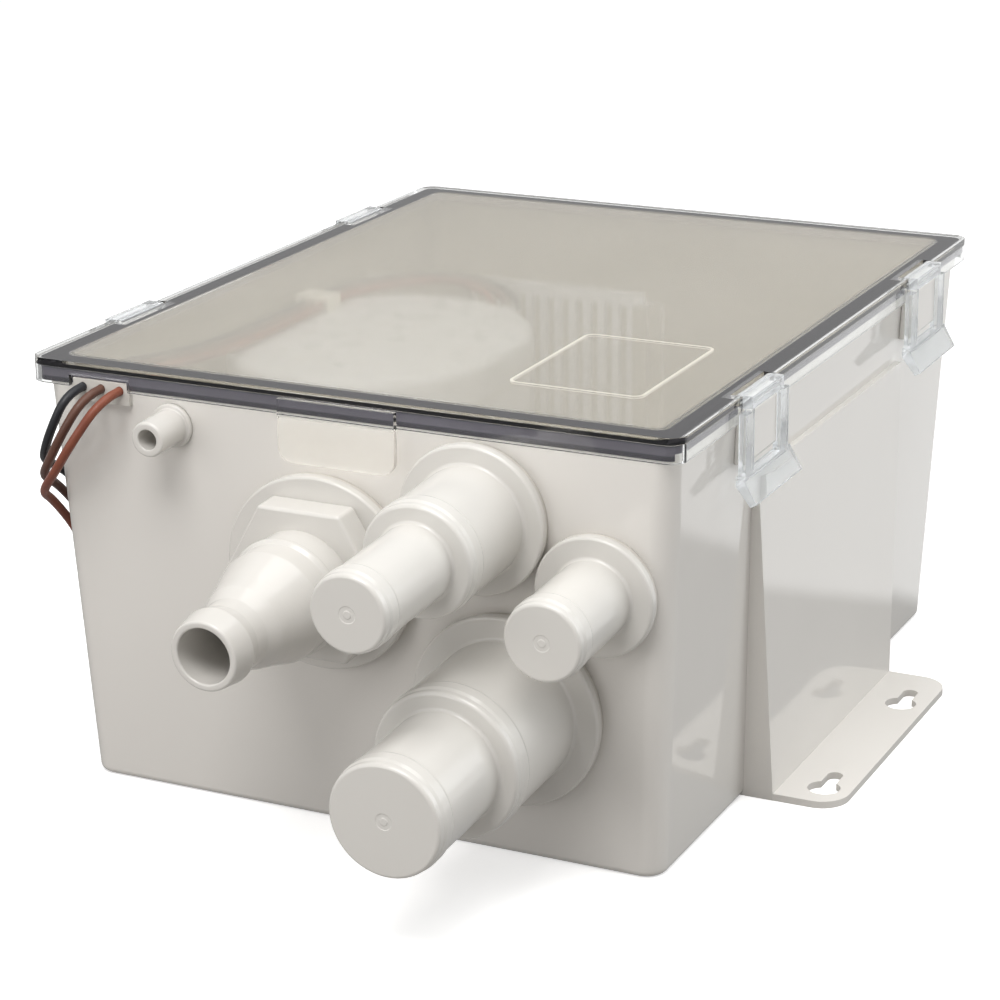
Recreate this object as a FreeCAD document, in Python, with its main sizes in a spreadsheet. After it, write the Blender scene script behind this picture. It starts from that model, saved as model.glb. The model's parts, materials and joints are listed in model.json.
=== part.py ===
import FreeCAD, Part
import math
import os
import re
import Sketcher

from FreeCAD import Placement, Rotation, Vector

# Shower sump pump: a leaning white tub under a clear lid held by four flaps, three stepped
# hose inlets and a discharge on the front wall, and a float-switched pump inside.
# Frame: +x towards the right wall, -y towards the hose fittings, +z up. The origin is the
# centre of the flat underside. Cutting tools run 1 mm past the faces that they open.

DIMENSIONS = {
    # size of tub that the ports and the leads are laid out for
    "planned_width": 168.0,
    "planned_depth": 213.0,
    "planned_height": 114.6,
    # tub
    "base_width": 168.0,
    "base_depth": 213.0,
    "tub_height": 114.6,
    "wall_lean": 5.2,
    "tub_corner": 6.0,
    "tub_wall": 2.6,
    "tub_floor": 3.0,
    "base_round": 2.2,
    # lid
    "lid_gap": 1.2,
    "lid_corner": 4.6,
    "rim_thick": 1.4,
    "rim_drop": 6.6,
    "rim_overlap": 2.0,
    "lid_plate": 2.2,
    "keeper_rib": 1.0,
    "keeper_drop": 2.0,
    "seat_gap": 0.2,
    "finger_tab_width": 33.0,
    "finger_tab_drop": 12.0,
    "finger_tab_thick": 1.6,
    # gasket
    "gasket_width": 5.2,
    "gasket_leg": 0.9,
    "gasket_leg_rise": 0.4,
    "gasket_gap": 0.2,
    "gasket_left": 1.8,
    # flap latches
    "latch_front_y": -62.5,
    "latch_rear_y": 68.0,
    "hinge_inset": 1.2,
    "hinge_drop": 1.7,
    "rod_radius": 0.9,
    "rod_clearance": 0.06,
    "knuckle_radius": 1.7,
    "knuckle_width": 22.4,
    "notch_clearance": 0.3,
    "notch_back": 2.0,
    "flap_gap": 0.3,
    "flap_thick": 2.2,
    "flap_width": 30.0,
    "flap_length": 20.3,
    "shoulder_drop": 2.1,
    "window_width": 18.6,
    "bar_height": 2.2,
    "bar_lip": 0.5,
    "pull_width": 33.0,
    "pull_out": 4.0,
    "pull_down": 5.0,
    "pull_thick": 1.8,
    "lug_width": 17.4,
    "lug_top_drop": 2.1,
    "lug_proud": 1.3,
    "lug_clearance": 0.8,
    "ramp_rise": 2.2,
    "bar_clearance": 0.2,
    # feet
    "foot_length": 97.0,
    "foot_middle_y": 0.5,
    "foot_reach": 27.0,
    "foot_thick": 2.0,
    "foot_corner": 8.0,
    "brace_reach": 8.4,
    "brace_drop": 20.6,
    "brace_wall": 2.4,
    "brace_tip": 1.7,
    "brace_flare": 9.0,
    "keyhole_radius": 4.4,
    "keyhole_slot_radius": 2.1,
    "keyhole_run": 9.0,
    "keyhole_pitch": 65.0,
    "keyhole_first_y": -38.6,
    "keyhole_inset": 7.6,
    # inside of the tub
    "divider_x": 14.0,
    "divider_thick": 2.4,
    "divider_height": 55.0,
    "web_drop": 14.6,
    "screen_back": 168.5,
    "screen_left_x": -52.0,
    "screen_right_x": 8.0,
    "screen_thick": 2.0,
    "screen_drop": 11.6,
    "screen_frame": 4.0,
    "screen_bar": 2.2,
    "screen_slot": 2.6,
    "guide_clearance": 0.3,
    "guide_wall": 1.6,
    "guide_depth": 3.0,
    # hose fittings on the front wall
    "seal_thick": 2.0,
    "seal_inset": 0.6,
    "flange_thick": 2.8,
    "fitting_wall": 2.2,
    "step_ring": 0.35,
    "step_ring_back": 6.0,
    "step_ring_flat": 3.0,
    "step_ring_ramp": 1.0,
    "edge_break": 0.6,
    "thread_clearance": 0.3,
    "nut_clearance": 0.1,
    "nut_thick": 7.0,
    "nut_margin": 3.5,
    "thread_length": 11.0,
    "upper_across": 36.8,
    "upper_level": 92.0,
    "upper_flange": 19.7,
    "upper_big": 14.6,
    "upper_small": 9.9,
    "upper_big_end": 33.8,
    "upper_end": 67.9,
    "upper_thread": 15.0,
    "right_across": 69.4,
    "right_level": 76.6,
    "right_flange": 15.8,
    "right_small": 10.1,
    "right_end": 34.2,
    "right_thread": 9.8,
    "lower_across": 44.5,
    "lower_level": 41.9,
    "lower_flange": 25.7,
    "lower_big": 19.4,
    "lower_small": 14.7,
    "lower_big_end": 38.0,
    "lower_end": 69.4,
    "lower_thread": 20.2,
    # discharge
    "outlet_across": -7.0,
    "outlet_level": 71.6,
    "outlet_flange": 26.2,
    "collar_flats": 40.0,
    "collar_end": 13.0,
    "outlet_body": 14.8,
    "outlet_body_end": 29.0,
    "outlet_bead": 0.8,
    "outlet_bead_back": 9.0,
    "outlet_bead_ramp": 1.0,
    "outlet_cone_end": 42.0,
    "cone_shoulder": 2.0,
    "cone_step": 4.0,
    "neck_taper": 0.4,
    "outlet_neck": 8.9,
    "outlet_neck_end": 50.0,
    "outlet_barb": 10.0,
    "outlet_end": 60.8,
    "outlet_bore": 7.2,
    "outlet_thread": 14.0,
    "outlet_tail": 8.6,
    "outlet_tail_length": 9.0,
    "outlet_plug": 3.4,
    "outlet_stop": 1.5,
    "chamber_end": 24.0,
    "chamber_taper": 3.0,
    "valve_gap": 0.3,
    "valve_chamber": 12.2,
    "seat_bore": 6.4,
    "flap_valve_radius": 9.2,
    "flap_valve_thick": 1.6,
    "valve_pin_radius": 0.8,
    "valve_pin_clearance": 0.06,
    "valve_pin_above": 9.4,
    "valve_pin_length": 17.4,
    "valve_knuckle": 1.7,
    "valve_knuckle_length": 8.0,
    # vent nipple
    "vent_inset": 34.0,
    "vent_drop": 9.8,
    "vent_radius": 4.7,
    "vent_bore": 2.7,
    "vent_end": 12.8,
    "vent_base": 5.9,
    # lead grommet
    "grommet_inset": 13.5,
    "grommet_width": 17.0,
    "grommet_height": 6.0,
    "grommet_lip": 1.2,
    "lead_radius": 1.2,
    "lead_hole_clearance": 0.05,
    "lead_pitch": 5.6,
    "lead_drop": 2.2,
    "lead_notch_rise": 3.0,
    "coil_gap": 0.45,
    "coil_outer": 17.6,
    # pump
    "pump_side_gap": 0.4,
    "pump_back": 96.5,
    "pump_half_width": 38.0,
    "pump_half_length": 48.0,
    "oval_flat": 0.4,
    "motor_shift": 10.0,
    "float_shift_x": -7.0,
    "float_shift_y": -29.0,
    "strainer_height": 13.0,
    "strainer_wall": 2.2,
    "strainer_slots": 9,
    "strainer_slot": 2.4,
    "strainer_slot_rise": 0.8,
    "strainer_slot_height": 7.0,
    "shell_wall": 2.2,
    "shell_drop": 24.2,
    "bulkhead_low": 36.0,
    "bulkhead_thick": 2.6,
    "cap_height": 11.0,
    "cap_overhang": 1.2,
    "cap_wall": 2.4,
    "cap_round": 4.0,
    "cap_seal_thick": 1.6,
    "cap_spigot": 4.0,
    "gland_shift": 12.0,
    "gland_reach": 1.8,
    "gland_rise": 6.0,
    "gland_length": 11.0,
    "gland_height": 5.2,
    "gland_side": 0.8,
    "gland_pitch": 3.4,
    "volute_radius": 25.0,
    "volute_wall": 2.0,
    "volute_low": 18.0,
    "inlet_eye": 9.0,
    "spout_shift": 15.6,
    "spout_radius": 8.6,
    "spout_bore": 6.6,
    "spout_back": 40.7,
    "impeller_radius": 19.0,
    "impeller_disc": 2.0,
    "impeller_vane": 7.0,
    "vane_thick": 1.8,
    "vane_count": 5,
    "hub_radius": 5.0,
    "shaft_radius": 1.6,
    "running_clearance": 0.05,
    "can_radius": 18.0,
    "can_wall": 1.2,
    "can_height": 46.0,
    "can_cap_thick": 2.4,
    "magnet_thick": 4.0,
    "magnet_low": 46.0,
    "magnet_height": 28.0,
    "armature_radius": 12.2,
    "armature_height": 24.0,
    "commutator_radius": 5.0,
    "commutator_height": 6.0,
    "commutator_gap": 1.0,
    "bush_radius": 4.2,
    "bush_height": 4.0,
    "seal_radius": 5.6,
    "brush_size": 3.0,
    "holder_wall": 1.0,
    "float_radius": 9.0,
    "float_height": 24.0,
    "float_travel": 16.0,
    "float_clearance": 0.6,
    "float_tube_wall": 1.6,
    "float_tube_low": 14.0,
    "float_collar": 1.4,
    "switch_width": 14.0,
    "switch_depth": 6.0,
    "switch_low": 44.0,
    "switch_height": 10.0,
    "float_lip": 2.6,
    "float_magnet_radius": 6.0,
    "float_magnet_height": 3.0,
    # riser hose from the pump to the discharge
    "hose_clearance": 0.1,
    "hose_wall": 2.3,
    "hose_bend": 12.6,
    "hose_grip": 7.5,
    "riser_low_back": 26.5,
    "riser_high_back": 32.5,
    "clamp_width": 6.0,
    "clamp_thick": 1.0,
    "clip_shift_x": -31.2,
    "clip_shift_y": 19.0,
    "clip_width": 10.8,
    "clip_length": 8.0,
    "clip_height": 4.2,
    "clip_hole": 1.35,
    "clip_rise": 1.6,
    "clip_pitch": 3.2,
    # screws
    "screw_radius": 1.9,
    "screw_head": 3.6,
    "screw_head_height": 2.2,
    "screw_length": 16.0,
    "screw_out": 24.0,
    "screw_rear": 30.0,
    "screw_front": 28.0,
    "pillar_wall": 1.2,
    "boss_wall": 0.6,
    # tie round the coils
    "tie_thick": 0.7,
    "tie_width": 3.0,
    "tie_clearance": 0.1,
    "tie_front": 8.0,
}

# Places that follow from the sizes
PLACES = {
    "share_across": "base_width / planned_width",
    "share_up": "tub_height / planned_height",
    "share": "min(share_across; share_up)",
    "brace_height": "tub_height - brace_drop",
    "web_height": "tub_height - web_drop",
    "screen_y": "screen_back - base_depth / 2",
    "screen_height": "tub_height - screen_drop",
    "upper_x": "upper_across * share_across",
    "upper_z": "upper_level * share_up",
    "right_x": "right_across * share_across",
    "right_z": "right_level * share_up",
    "lower_x": "lower_across * share_across",
    "lower_z": "lower_level * share_up",
    "outlet_x": "outlet_across * share_across",
    "outlet_z": "outlet_level * share_up",
    "vent_x": "vent_inset - base_width / 2",
    "vent_z": "tub_height - vent_drop",
    "grommet_x": "grommet_inset - base_width / 2",
    "pump_x": "tub_wall + pump_side_gap + pump_half_width - base_width / 2",
    "pump_y": "pump_back - base_depth / 2",
    "shell_top": "tub_height - shell_drop",
    "spout_end_y": "spout_back - base_depth / 2",
    "riser_low_y": "riser_low_back - base_depth / 2",
    "riser_high_y": "riser_high_back - base_depth / 2",
}

doc = FreeCAD.newDocument("shower_sump_pump")
sheet = doc.addObject("Spreadsheet::Sheet", "Dims")
for row, (alias, value) in enumerate(DIMENSIONS.items(), start=1):
    sheet.set("A%d" % row, alias)
    sheet.set("B%d" % row, str(value))
    sheet.setAlias("B%d" % row, alias)
for row, (alias, text) in enumerate(PLACES.items(), start=len(DIMENSIONS) + 1):
    sheet.set("A%d" % row, alias)
    sheet.set("B%d" % row, "=" + text)
    sheet.setAlias("B%d" % row, alias)
doc.recompute()

WORD = re.compile(r"[a-z][a-z_]*")
CELLS = set(DIMENSIONS) | set(PLACES)


def formula(text):
    """An expression on the sheet's cells, written with their bare names."""
    return WORD.sub(lambda word: ("Dims." if word.group(0) in CELLS else "") + word.group(0), text)


def size(name):
    """A dimension or a place, read back from the sheet."""
    return float(sheet.get(name))


def bind(thing, **sizes):
    """Bind properties to formulas; x, y and z stand for the placement's base."""
    for name, text in sizes.items():
        path = "Placement.Base." + name if name in ("x", "y", "z") else name
        thing.setExpression(path, formula(text))
    return thing


def number(text):
    """The value of a formula."""
    result = sheet.evalExpression(formula(text))
    return float(getattr(result, "Value", result))


ALONG_X = Rotation(Vector(0, 1, 0), 90)
ALONG_Y = Rotation(Vector(1, 0, 0), -90)
ALONG_Z = Rotation()


def box(name, x, y, z, length, width, height):
    """A block from its low corner."""
    made = doc.addObject("Part::Box", name)
    return bind(made, x=x, y=y, z=z, Length=length, Width=width, Height=height)


def cylinder(name, turn, x, y, z, radius, height):
    """A round bar from the middle of its first end."""
    made = doc.addObject("Part::Cylinder", name)
    made.Placement = Placement(Vector(), turn)
    return bind(made, x=x, y=y, z=z, Radius=radius, Height=height)


def fuse(name, *pieces):
    made = doc.addObject("Part::MultiFuse", name)
    made.Shapes = list(pieces)
    return made


def common(name, first, second):
    made = doc.addObject("Part::MultiCommon", name)
    made.Shapes = [first, second]
    return made


def group(name, pieces):
    """Several like pieces, or one turned piece, kept as separate solids."""
    made = doc.addObject("Part::Compound", name)
    made.Links = pieces
    return made


def cut(name, base, *tools):
    made = doc.addObject("Part::Cut", name)
    made.Base = base
    made.Tool = tools[0] if len(tools) == 1 else fuse(name + "_tools", *tools)
    return made


def mirror(name, source):
    """The same piece on the other side of the x = 0 plane."""
    made = doc.addObject("Part::Mirroring", name)
    made.Source = source
    made.Normal = Vector(1, 0, 0)
    return made


def new_body(name):
    return doc.addObject("PartDesign::Body", name)


def origin_plane(owner, role):
    return next(plane for plane in owner.Origin.OriginFeatures if plane.Role == role)


def outline(owner, name, role, points):
    """A closed sketch of straight lines whose corners are bound to formulas."""
    sketch = owner.newObject("Sketcher::SketchObject", name)
    sketch.AttachmentSupport = (origin_plane(owner, role), [""])
    sketch.MapMode = "FlatFace"
    spots = [Vector(number(across), number(up), 0) for across, up in points]
    count = len(spots)
    for index in range(count):
        sketch.addGeometry(Part.LineSegment(spots[index], spots[(index + 1) % count]))
    for index in range(count):
        sketch.addConstraint(Sketcher.Constraint("Coincident", index, 2, (index + 1) % count, 1))
    for index, (across, up) in enumerate(points):
        for kind, value, text in (("DistanceX", spots[index].x, across), ("DistanceY", spots[index].y, up)):
            place = sketch.addConstraint(Sketcher.Constraint(kind, -1, 1, index, 1, value))
            sketch.setExpression("Constraints[%d]" % place, formula(text))
    return sketch


def upright_edges(shape, least):
    """Names of the edges that climb at least this far."""
    return ["Edge%d" % index for index, edge in enumerate(shape.Edges, start=1)
            if edge.BoundBox.ZLength >= least]


def low_edges(shape, level):
    """Names of the edges that lie at this level."""
    return ["Edge%d" % index for index, edge in enumerate(shape.Edges, start=1)
            if abs(edge.BoundBox.ZMin - level) < 1e-4 and abs(edge.BoundBox.ZMax - level) < 1e-4]


def round_edges(owner, name, base, edges, radius):
    made = owner.newObject("PartDesign::Fillet", name)
    made.Base = (base, edges)
    bind(made, Radius=radius)
    owner.Tip = made
    doc.recompute()
    return made


def block(name, half_x, half_y, low, height, corner, lean=None, bottom=None, top=None):
    """An upright slab with rounded corners about the z axis, whose sides may lean outwards."""
    owner = new_body(name)
    west, south = "-(%s)" % half_x, "-(%s)" % half_y
    sketch = outline(owner, name + "_sketch", "XY_Plane",
                     [(west, south), (half_x, south), (half_x, half_y), (west, half_y)])
    pad = owner.newObject("PartDesign::Pad", name + "_pad")
    pad.Profile = sketch
    bind(pad, Length=height)
    if lean:
        bind(pad, TaperAngle=lean)
    bind(owner, z=low)
    doc.recompute()
    last = round_edges(owner, name + "_corners", pad, upright_edges(pad.Shape, number(height) * 0.9), corner)
    if bottom:
        last = round_edges(owner, name + "_bottom", last, low_edges(last.Shape, 0), bottom)
    if top:
        last = round_edges(owner, name + "_top", last, low_edges(last.Shape, number(height)), top)
    return owner


def prism(name, points, middle_y, width):
    """An outline in the xz plane, given an equal width to both sides of middle_y."""
    owner = new_body(name)
    sketch = outline(owner, name + "_sketch", "XZ_Plane", points)
    pad = owner.newObject("PartDesign::Pad", name + "_pad")
    pad.Profile = sketch
    pad.SideType = "Symmetric"
    bind(pad, Length=width)
    bind(owner, y=middle_y)
    return owner


def turned(name, points):
    """A piece turned about its own z axis, from (radius, height) corners."""
    owner = new_body(name)
    sketch = outline(owner, name + "_sketch", "XZ_Plane", points)
    spin = owner.newObject("PartDesign::Revolution", name + "_turn")
    spin.Profile = sketch
    spin.ReferenceAxis = (sketch, ["V_Axis"])
    spin.Angle = 360
    return owner


def ring(name, inner, outer, low, high):
    """A plain turned ring."""
    return turned(name, [(inner, low), (outer, low), (outer, high), (inner, high)])


# Levels and reaches that several pieces share

LEAN_ANGLE = "atan(wall_lean / tub_height)"
LID_TOP = "(tub_height - rim_overlap + rim_drop)"
RIM_LOW = "(tub_height - rim_overlap)"
PLATE_LOW = "(tub_height - rim_overlap + rim_drop - lid_plate)"
LID_X = "(base_width / 2 + wall_lean + lid_gap + rim_thick)"
LID_Y = "(base_depth / 2 + wall_lean + lid_gap + rim_thick)"
LID_CORNER = "lid_corner"
HINGE_X = "(" + LID_X + " - hinge_inset)"
HINGE_Z = "(" + LID_TOP + " - hinge_drop)"
FLAP_IN = "(" + LID_X + " + flap_gap)"
FLAP_OUT = "(" + LID_X + " + flap_gap + flap_thick)"
BAR_LOW = "(" + HINGE_Z + " - flap_length)"
BAR_HIGH = "(" + BAR_LOW + " + bar_height)"
LATCH_SPOTS = {"front": "latch_front_y", "rear": "latch_rear_y"}


def wall_x(level):
    """Outer face of the right wall at a height."""
    return "(base_width / 2 + wall_lean * (%s) / tub_height)" % level


def wall_y(level):
    """Outer face of the front wall at a height, as a distance from the middle."""
    return "(base_depth / 2 + wall_lean * (%s) / tub_height)" % level


def seat_on_front(piece, across, level):
    """Stand a turned piece on the leaning front wall, with its axis square to that wall."""
    piece.Placement = Placement(Vector(), Rotation(Vector(1, 0, 0), 90))
    bind(piece, x=across, y="-" + wall_y(level), z=level)
    piece.setExpression("Placement.Rotation.Angle", formula("90 deg + " + LEAN_ANGLE))
    return piece


# Tub: a leaning box with an open top, a low divider and webs that hold the screen. Its feet and its
# lugs for the flaps belong to the same moulding, and are kept as solids of their own.

tub_outer = block("tub_outer", "base_width / 2", "base_depth / 2", "0", "tub_height", "tub_corner",
                  lean=LEAN_ANGLE, bottom="base_round")
INNER_X = wall_x("tub_floor") + " - tub_wall"
INNER_Y = wall_y("tub_floor") + " - tub_wall"
tub_inner = block("tub_inner", INNER_X, INNER_Y, "tub_floor", "tub_height", "tub_corner - tub_wall",
                  lean=LEAN_ANGLE)
tub_shell = cut("tub_shell", tub_outer, tub_inner)

divider = box("divider", "divider_x - divider_thick / 2", "-base_depth", "tub_floor / 2",
              "divider_thick", "base_depth + screen_y + divider_thick / 2",
              "divider_height - tub_floor / 2")
left_web = box("left_web", "-base_width", "screen_y - divider_thick / 2", "tub_floor / 2",
               "base_width + screen_left_x - guide_clearance", "divider_thick",
               "web_height - tub_floor / 2")
right_web = box("right_web", "screen_right_x + guide_clearance", "screen_y - divider_thick / 2",
                "tub_floor / 2", "divider_x - screen_right_x - guide_clearance", "divider_thick",
                "web_height - tub_floor / 2")
SLOT_HALF = "(screen_thick / 2 + guide_clearance)"
left_guide = box("left_guide", "screen_left_x - guide_clearance - guide_wall",
                 "screen_y - %s - guide_wall" % SLOT_HALF, "tub_floor / 2", "guide_wall + guide_depth",
                 "2 * (%s + guide_wall)" % SLOT_HALF, "web_height - tub_floor / 2")
right_guide = box("right_guide", "screen_right_x + guide_clearance - guide_depth",
                  "screen_y - %s - guide_wall" % SLOT_HALF, "tub_floor / 2", "guide_wall + guide_depth",
                  "2 * (%s + guide_wall)" % SLOT_HALF, "web_height - tub_floor / 2")
screen_channel = box("screen_channel", "screen_left_x - guide_clearance", "screen_y - " + SLOT_HALF,
                     "tub_floor", "screen_right_x - screen_left_x + 2 * guide_clearance",
                     "2 * " + SLOT_HALF, "web_height")
webs = common("webs", tub_outer, fuse("web_blanks", divider, left_web, right_web, left_guide, right_guide))
webs_slotted = cut("webs_slotted", webs, screen_channel)

lugs = []
LUG_TOP = "(" + HINGE_Z + " - lug_top_drop)"
LUG_LOW = "(" + BAR_HIGH + " + lug_clearance)"
LUG_X = "(" + FLAP_IN + " + lug_proud)"
RAMP_X = "(" + FLAP_IN + " - bar_lip - bar_clearance)"
for spot, middle in LATCH_SPOTS.items():
    lugs.append(prism("lug_" + spot, [
        (wall_x("tub_height") + " - tub_wall / 2", LUG_TOP),
        (wall_x(LUG_LOW) + " - tub_wall / 2", LUG_LOW),
        (RAMP_X, LUG_LOW),
        (LUG_X, LUG_LOW + " + ramp_rise"),
        (LUG_X, LUG_TOP + " - bar_lip"),
        (LUG_X + " - bar_lip", LUG_TOP)], middle, "lug_width"))

FOOT_X = "(base_width / 2 + foot_reach)"
FOOT_LOW_Y = "(foot_middle_y - foot_length / 2)"
foot_plate = new_body("foot_plate")
foot_sketch = outline(foot_plate, "foot_sketch", "XY_Plane", [
    ("base_width / 2 + brace_reach - brace_wall", FOOT_LOW_Y),
    (FOOT_X, FOOT_LOW_Y),
    (FOOT_X, FOOT_LOW_Y + " + foot_length"),
    ("base_width / 2 + brace_reach - brace_wall", FOOT_LOW_Y + " + foot_length")])
foot_pad = foot_plate.newObject("PartDesign::Pad", "foot_pad")
foot_pad.Profile = foot_sketch
bind(foot_pad, Length="foot_thick")
doc.recompute()
outer_edges = [name for name in upright_edges(foot_pad.Shape, size("foot_thick") * 0.9)
               if foot_pad.Shape.getElement(name).BoundBox.XMin > number(FOOT_X) - 1]
round_edges(foot_plate, "foot_corners", foot_pad, outer_edges, "foot_corner")
brace_block = prism("brace_block", [
    ("base_width / 2 - tub_wall / 2", "0"),
    ("base_width / 2 + brace_reach", "0"),
    ("base_width / 2 + brace_reach", "foot_thick"),
    (wall_x("brace_height") + " + brace_tip", "brace_height"),
    (wall_x("brace_height") + " - tub_wall / 2", "brace_height")],
    "foot_middle_y", "foot_length + 2 * brace_flare")
HOLLOW_TOP = "(brace_height * (1 - 1.4 * brace_wall / brace_reach))"
hollow_block = prism("hollow_block", [
    ("base_width / 2 - tub_wall", "-1"),
    ("base_width / 2 + brace_reach - brace_wall", "-1"),
    ("base_width / 2 + brace_reach - brace_wall", "foot_thick"),
    (wall_x(HOLLOW_TOP) + " + brace_tip", HOLLOW_TOP),
    (wall_x(HOLLOW_TOP) + " - tub_wall", HOLLOW_TOP)],
    "foot_middle_y", "foot_length + 2 * brace_flare")


def flared(name, inset):
    """A slab as wide as the tub, whose front and rear ends spread upwards as the brace's do."""
    slab = new_body(name)
    ends = outline(slab, name + "_sketch", "YZ_Plane", [
        ("foot_middle_y - foot_length / 2 + " + inset, "-1"),
        ("foot_middle_y + foot_length / 2 - " + inset, "-1"),
        ("foot_middle_y + foot_length / 2 + brace_flare - " + inset, "brace_height"),
        ("foot_middle_y - foot_length / 2 - brace_flare + " + inset, "brace_height")])
    pad = slab.newObject("PartDesign::Pad", name + "_pad")
    pad.Profile = ends
    bind(pad, Length="base_width")
    doc.recompute()
    return slab


brace = common("brace", brace_block, flared("brace_ends", "0"))
brace_hollow = common("brace_hollow", hollow_block, flared("hollow_ends", "brace_wall"))
keyholes = []
for index in range(2):
    middle = "(keyhole_first_y + %d * keyhole_pitch)" % index
    across = "(" + FOOT_X + " - keyhole_inset)"
    keyholes.append(cylinder("keyhole_%d" % index, ALONG_Z, across, middle, "-1",
                             "keyhole_radius", "foot_thick + 2"))
    keyholes.append(cylinder("keyslot_end_%d" % index, ALONG_Z, across, middle + " + keyhole_run", "-1",
                             "keyhole_slot_radius", "foot_thick + 2"))
    keyholes.append(box("keyslot_%d" % index, across + " - keyhole_slot_radius", middle, "-1",
                        "2 * keyhole_slot_radius", "keyhole_run", "foot_thick + 2"))
foot_right = cut("foot_right", fuse("foot_blank", foot_plate, cut("brace_shell", brace, brace_hollow)),
                 tub_outer, *keyholes)
foot_left = mirror("foot_left", foot_right)
lugs_right = cut("lugs_right", group("lug_blanks", lugs), tub_outer)
latch_lugs = group("latch_lugs", [lugs_right, mirror("lugs_left", lugs_right)])

# Ports on the front wall: name, place, hole radius
PORTS = {
    "upper": ("upper_x", "upper_z", "upper_thread * share"),
    "right": ("right_x", "right_z", "right_thread * share"),
    "lower": ("lower_x", "lower_z", "lower_thread * share"),
    "outlet": ("outlet_x", "outlet_z", "outlet_thread"),
}
port_holes = []
for port, (across, level, radius) in PORTS.items():
    hole = turned("port_hole_" + port, [
        ("0", "-3 * tub_wall"), (radius + " + thread_clearance", "-3 * tub_wall"),
        (radius + " + thread_clearance", "2 * tub_wall"), ("0", "2 * tub_wall")])
    port_holes.append(seat_on_front(hole, across, level))
vent_hole = turned("vent_hole", [
    ("0", "-3 * tub_wall"), ("vent_radius", "-3 * tub_wall"),
    ("vent_radius", "2 * tub_wall"), ("0", "2 * tub_wall")])
port_holes.append(seat_on_front(vent_hole, "vent_x", "vent_z"))
lead_gap = box("lead_gap", "grommet_x - grommet_width / 2", "-%s - 1" % LID_Y,
               "tub_height - grommet_height", "grommet_width", "4 * tub_wall", "2 * grommet_height")
tub = cut("tub", fuse("tub_blank", tub_shell, webs_slotted), *port_holes, lead_gap)

# Lid: a clear plate with a rim that hangs over the tub, rods for the flaps and a finger tab

lid_blank = block("lid_blank", LID_X, LID_Y, RIM_LOW, "rim_drop", LID_CORNER)
lid_hollow = block("lid_hollow", LID_X + " - rim_thick", LID_Y + " - rim_thick", RIM_LOW + " - 1",
                   "rim_drop - lid_plate + 1", LID_CORNER + " - rim_thick")
SEAL_BACK = "(rim_thick + gasket_gap)"
SEAL_FRONT = "(rim_thick + gasket_gap + gasket_width)"
KEEPER = "(rim_thick + 2 * gasket_gap + gasket_width)"
keeper_outer = block("keeper_outer", LID_X + " - " + KEEPER, LID_Y + " - " + KEEPER,
                     PLATE_LOW + " - keeper_drop", "keeper_drop + lid_plate / 2", "tub_corner / 2")
keeper_inner = block("keeper_inner", LID_X + " - " + KEEPER + " - keeper_rib",
                     LID_Y + " - " + KEEPER + " - keeper_rib", PLATE_LOW + " - keeper_drop - 1",
                     "keeper_drop + 1", "tub_corner / 2 - keeper_rib / 2")
keeper = cut("keeper", keeper_outer, keeper_inner)


def notch_at(name, middle, inner, spare="0"):
    """The gap in the lid's edge that a flap's knuckle turns in, with some to spare at each end."""
    half = "(knuckle_width / 2 + notch_clearance + %s)" % spare
    return box(name, inner, "%s - %s" % (middle, half), RIM_LOW + " - 1", "base_width", "2 * " + half,
               "rim_drop + 2")


notches = []
rods = []
for spot, middle in LATCH_SPOTS.items():
    right_notch = notch_at("lid_notch_" + spot, middle, HINGE_X + " - notch_back")
    right_rod = cylinder("rod_" + spot, ALONG_Y, HINGE_X,
                         "%s - knuckle_width / 2 - notch_clearance - rim_thick" % middle, HINGE_Z,
                         "rod_radius", "knuckle_width + 2 * notch_clearance + 2 * rim_thick")
    notches += [right_notch, mirror("lid_notch_left_" + spot, right_notch)]
    rods += [right_rod, mirror("rod_left_" + spot, right_rod)]
skirt_gap = box("skirt_gap", "grommet_x - grommet_width / 2 - notch_clearance", "-%s - 1" % LID_Y,
                RIM_LOW + " - 1", "grommet_width + 2 * notch_clearance", "1 + rim_thick + lid_gap / 2",
                "lead_notch_rise + 1")
finger_tab = new_body("finger_tab")
finger_sketch = outline(finger_tab, "finger_sketch", "XZ_Plane", [
    ("-finger_tab_width / 2", RIM_LOW + " - finger_tab_drop"),
    ("finger_tab_width / 2", RIM_LOW + " - finger_tab_drop"),
    ("finger_tab_width / 2", LID_TOP + " - lid_plate"),
    ("-finger_tab_width / 2", LID_TOP + " - lid_plate")])
finger_pad = finger_tab.newObject("PartDesign::Pad", "finger_pad")
finger_pad.Profile = finger_sketch
bind(finger_pad, Length="finger_tab_thick")
bind(finger_tab, y="-" + LID_Y)
doc.recompute()
low_corners = ["Edge%d" % index for index, edge in enumerate(finger_pad.Shape.Edges, start=1)
               if edge.BoundBox.YLength > size("finger_tab_thick") * 0.9
               and edge.BoundBox.ZMax < number(RIM_LOW)]
round_edges(finger_tab, "finger_corners", finger_pad, low_corners, "finger_tab_drop / 3")
lid_plain = fuse("lid_plain", cut("lid_shell", lid_blank, lid_hollow), keeper)
lid = fuse("lid", cut("lid_notched", lid_plain, *notches, skirt_gap), *rods, finger_tab)

# Lid gasket: a dark soft ring under the plate. At the front and the rear a leg of it hangs between
# the rim and the tub. It is pared back behind each flap, and the leg is left out over the leads.

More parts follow.
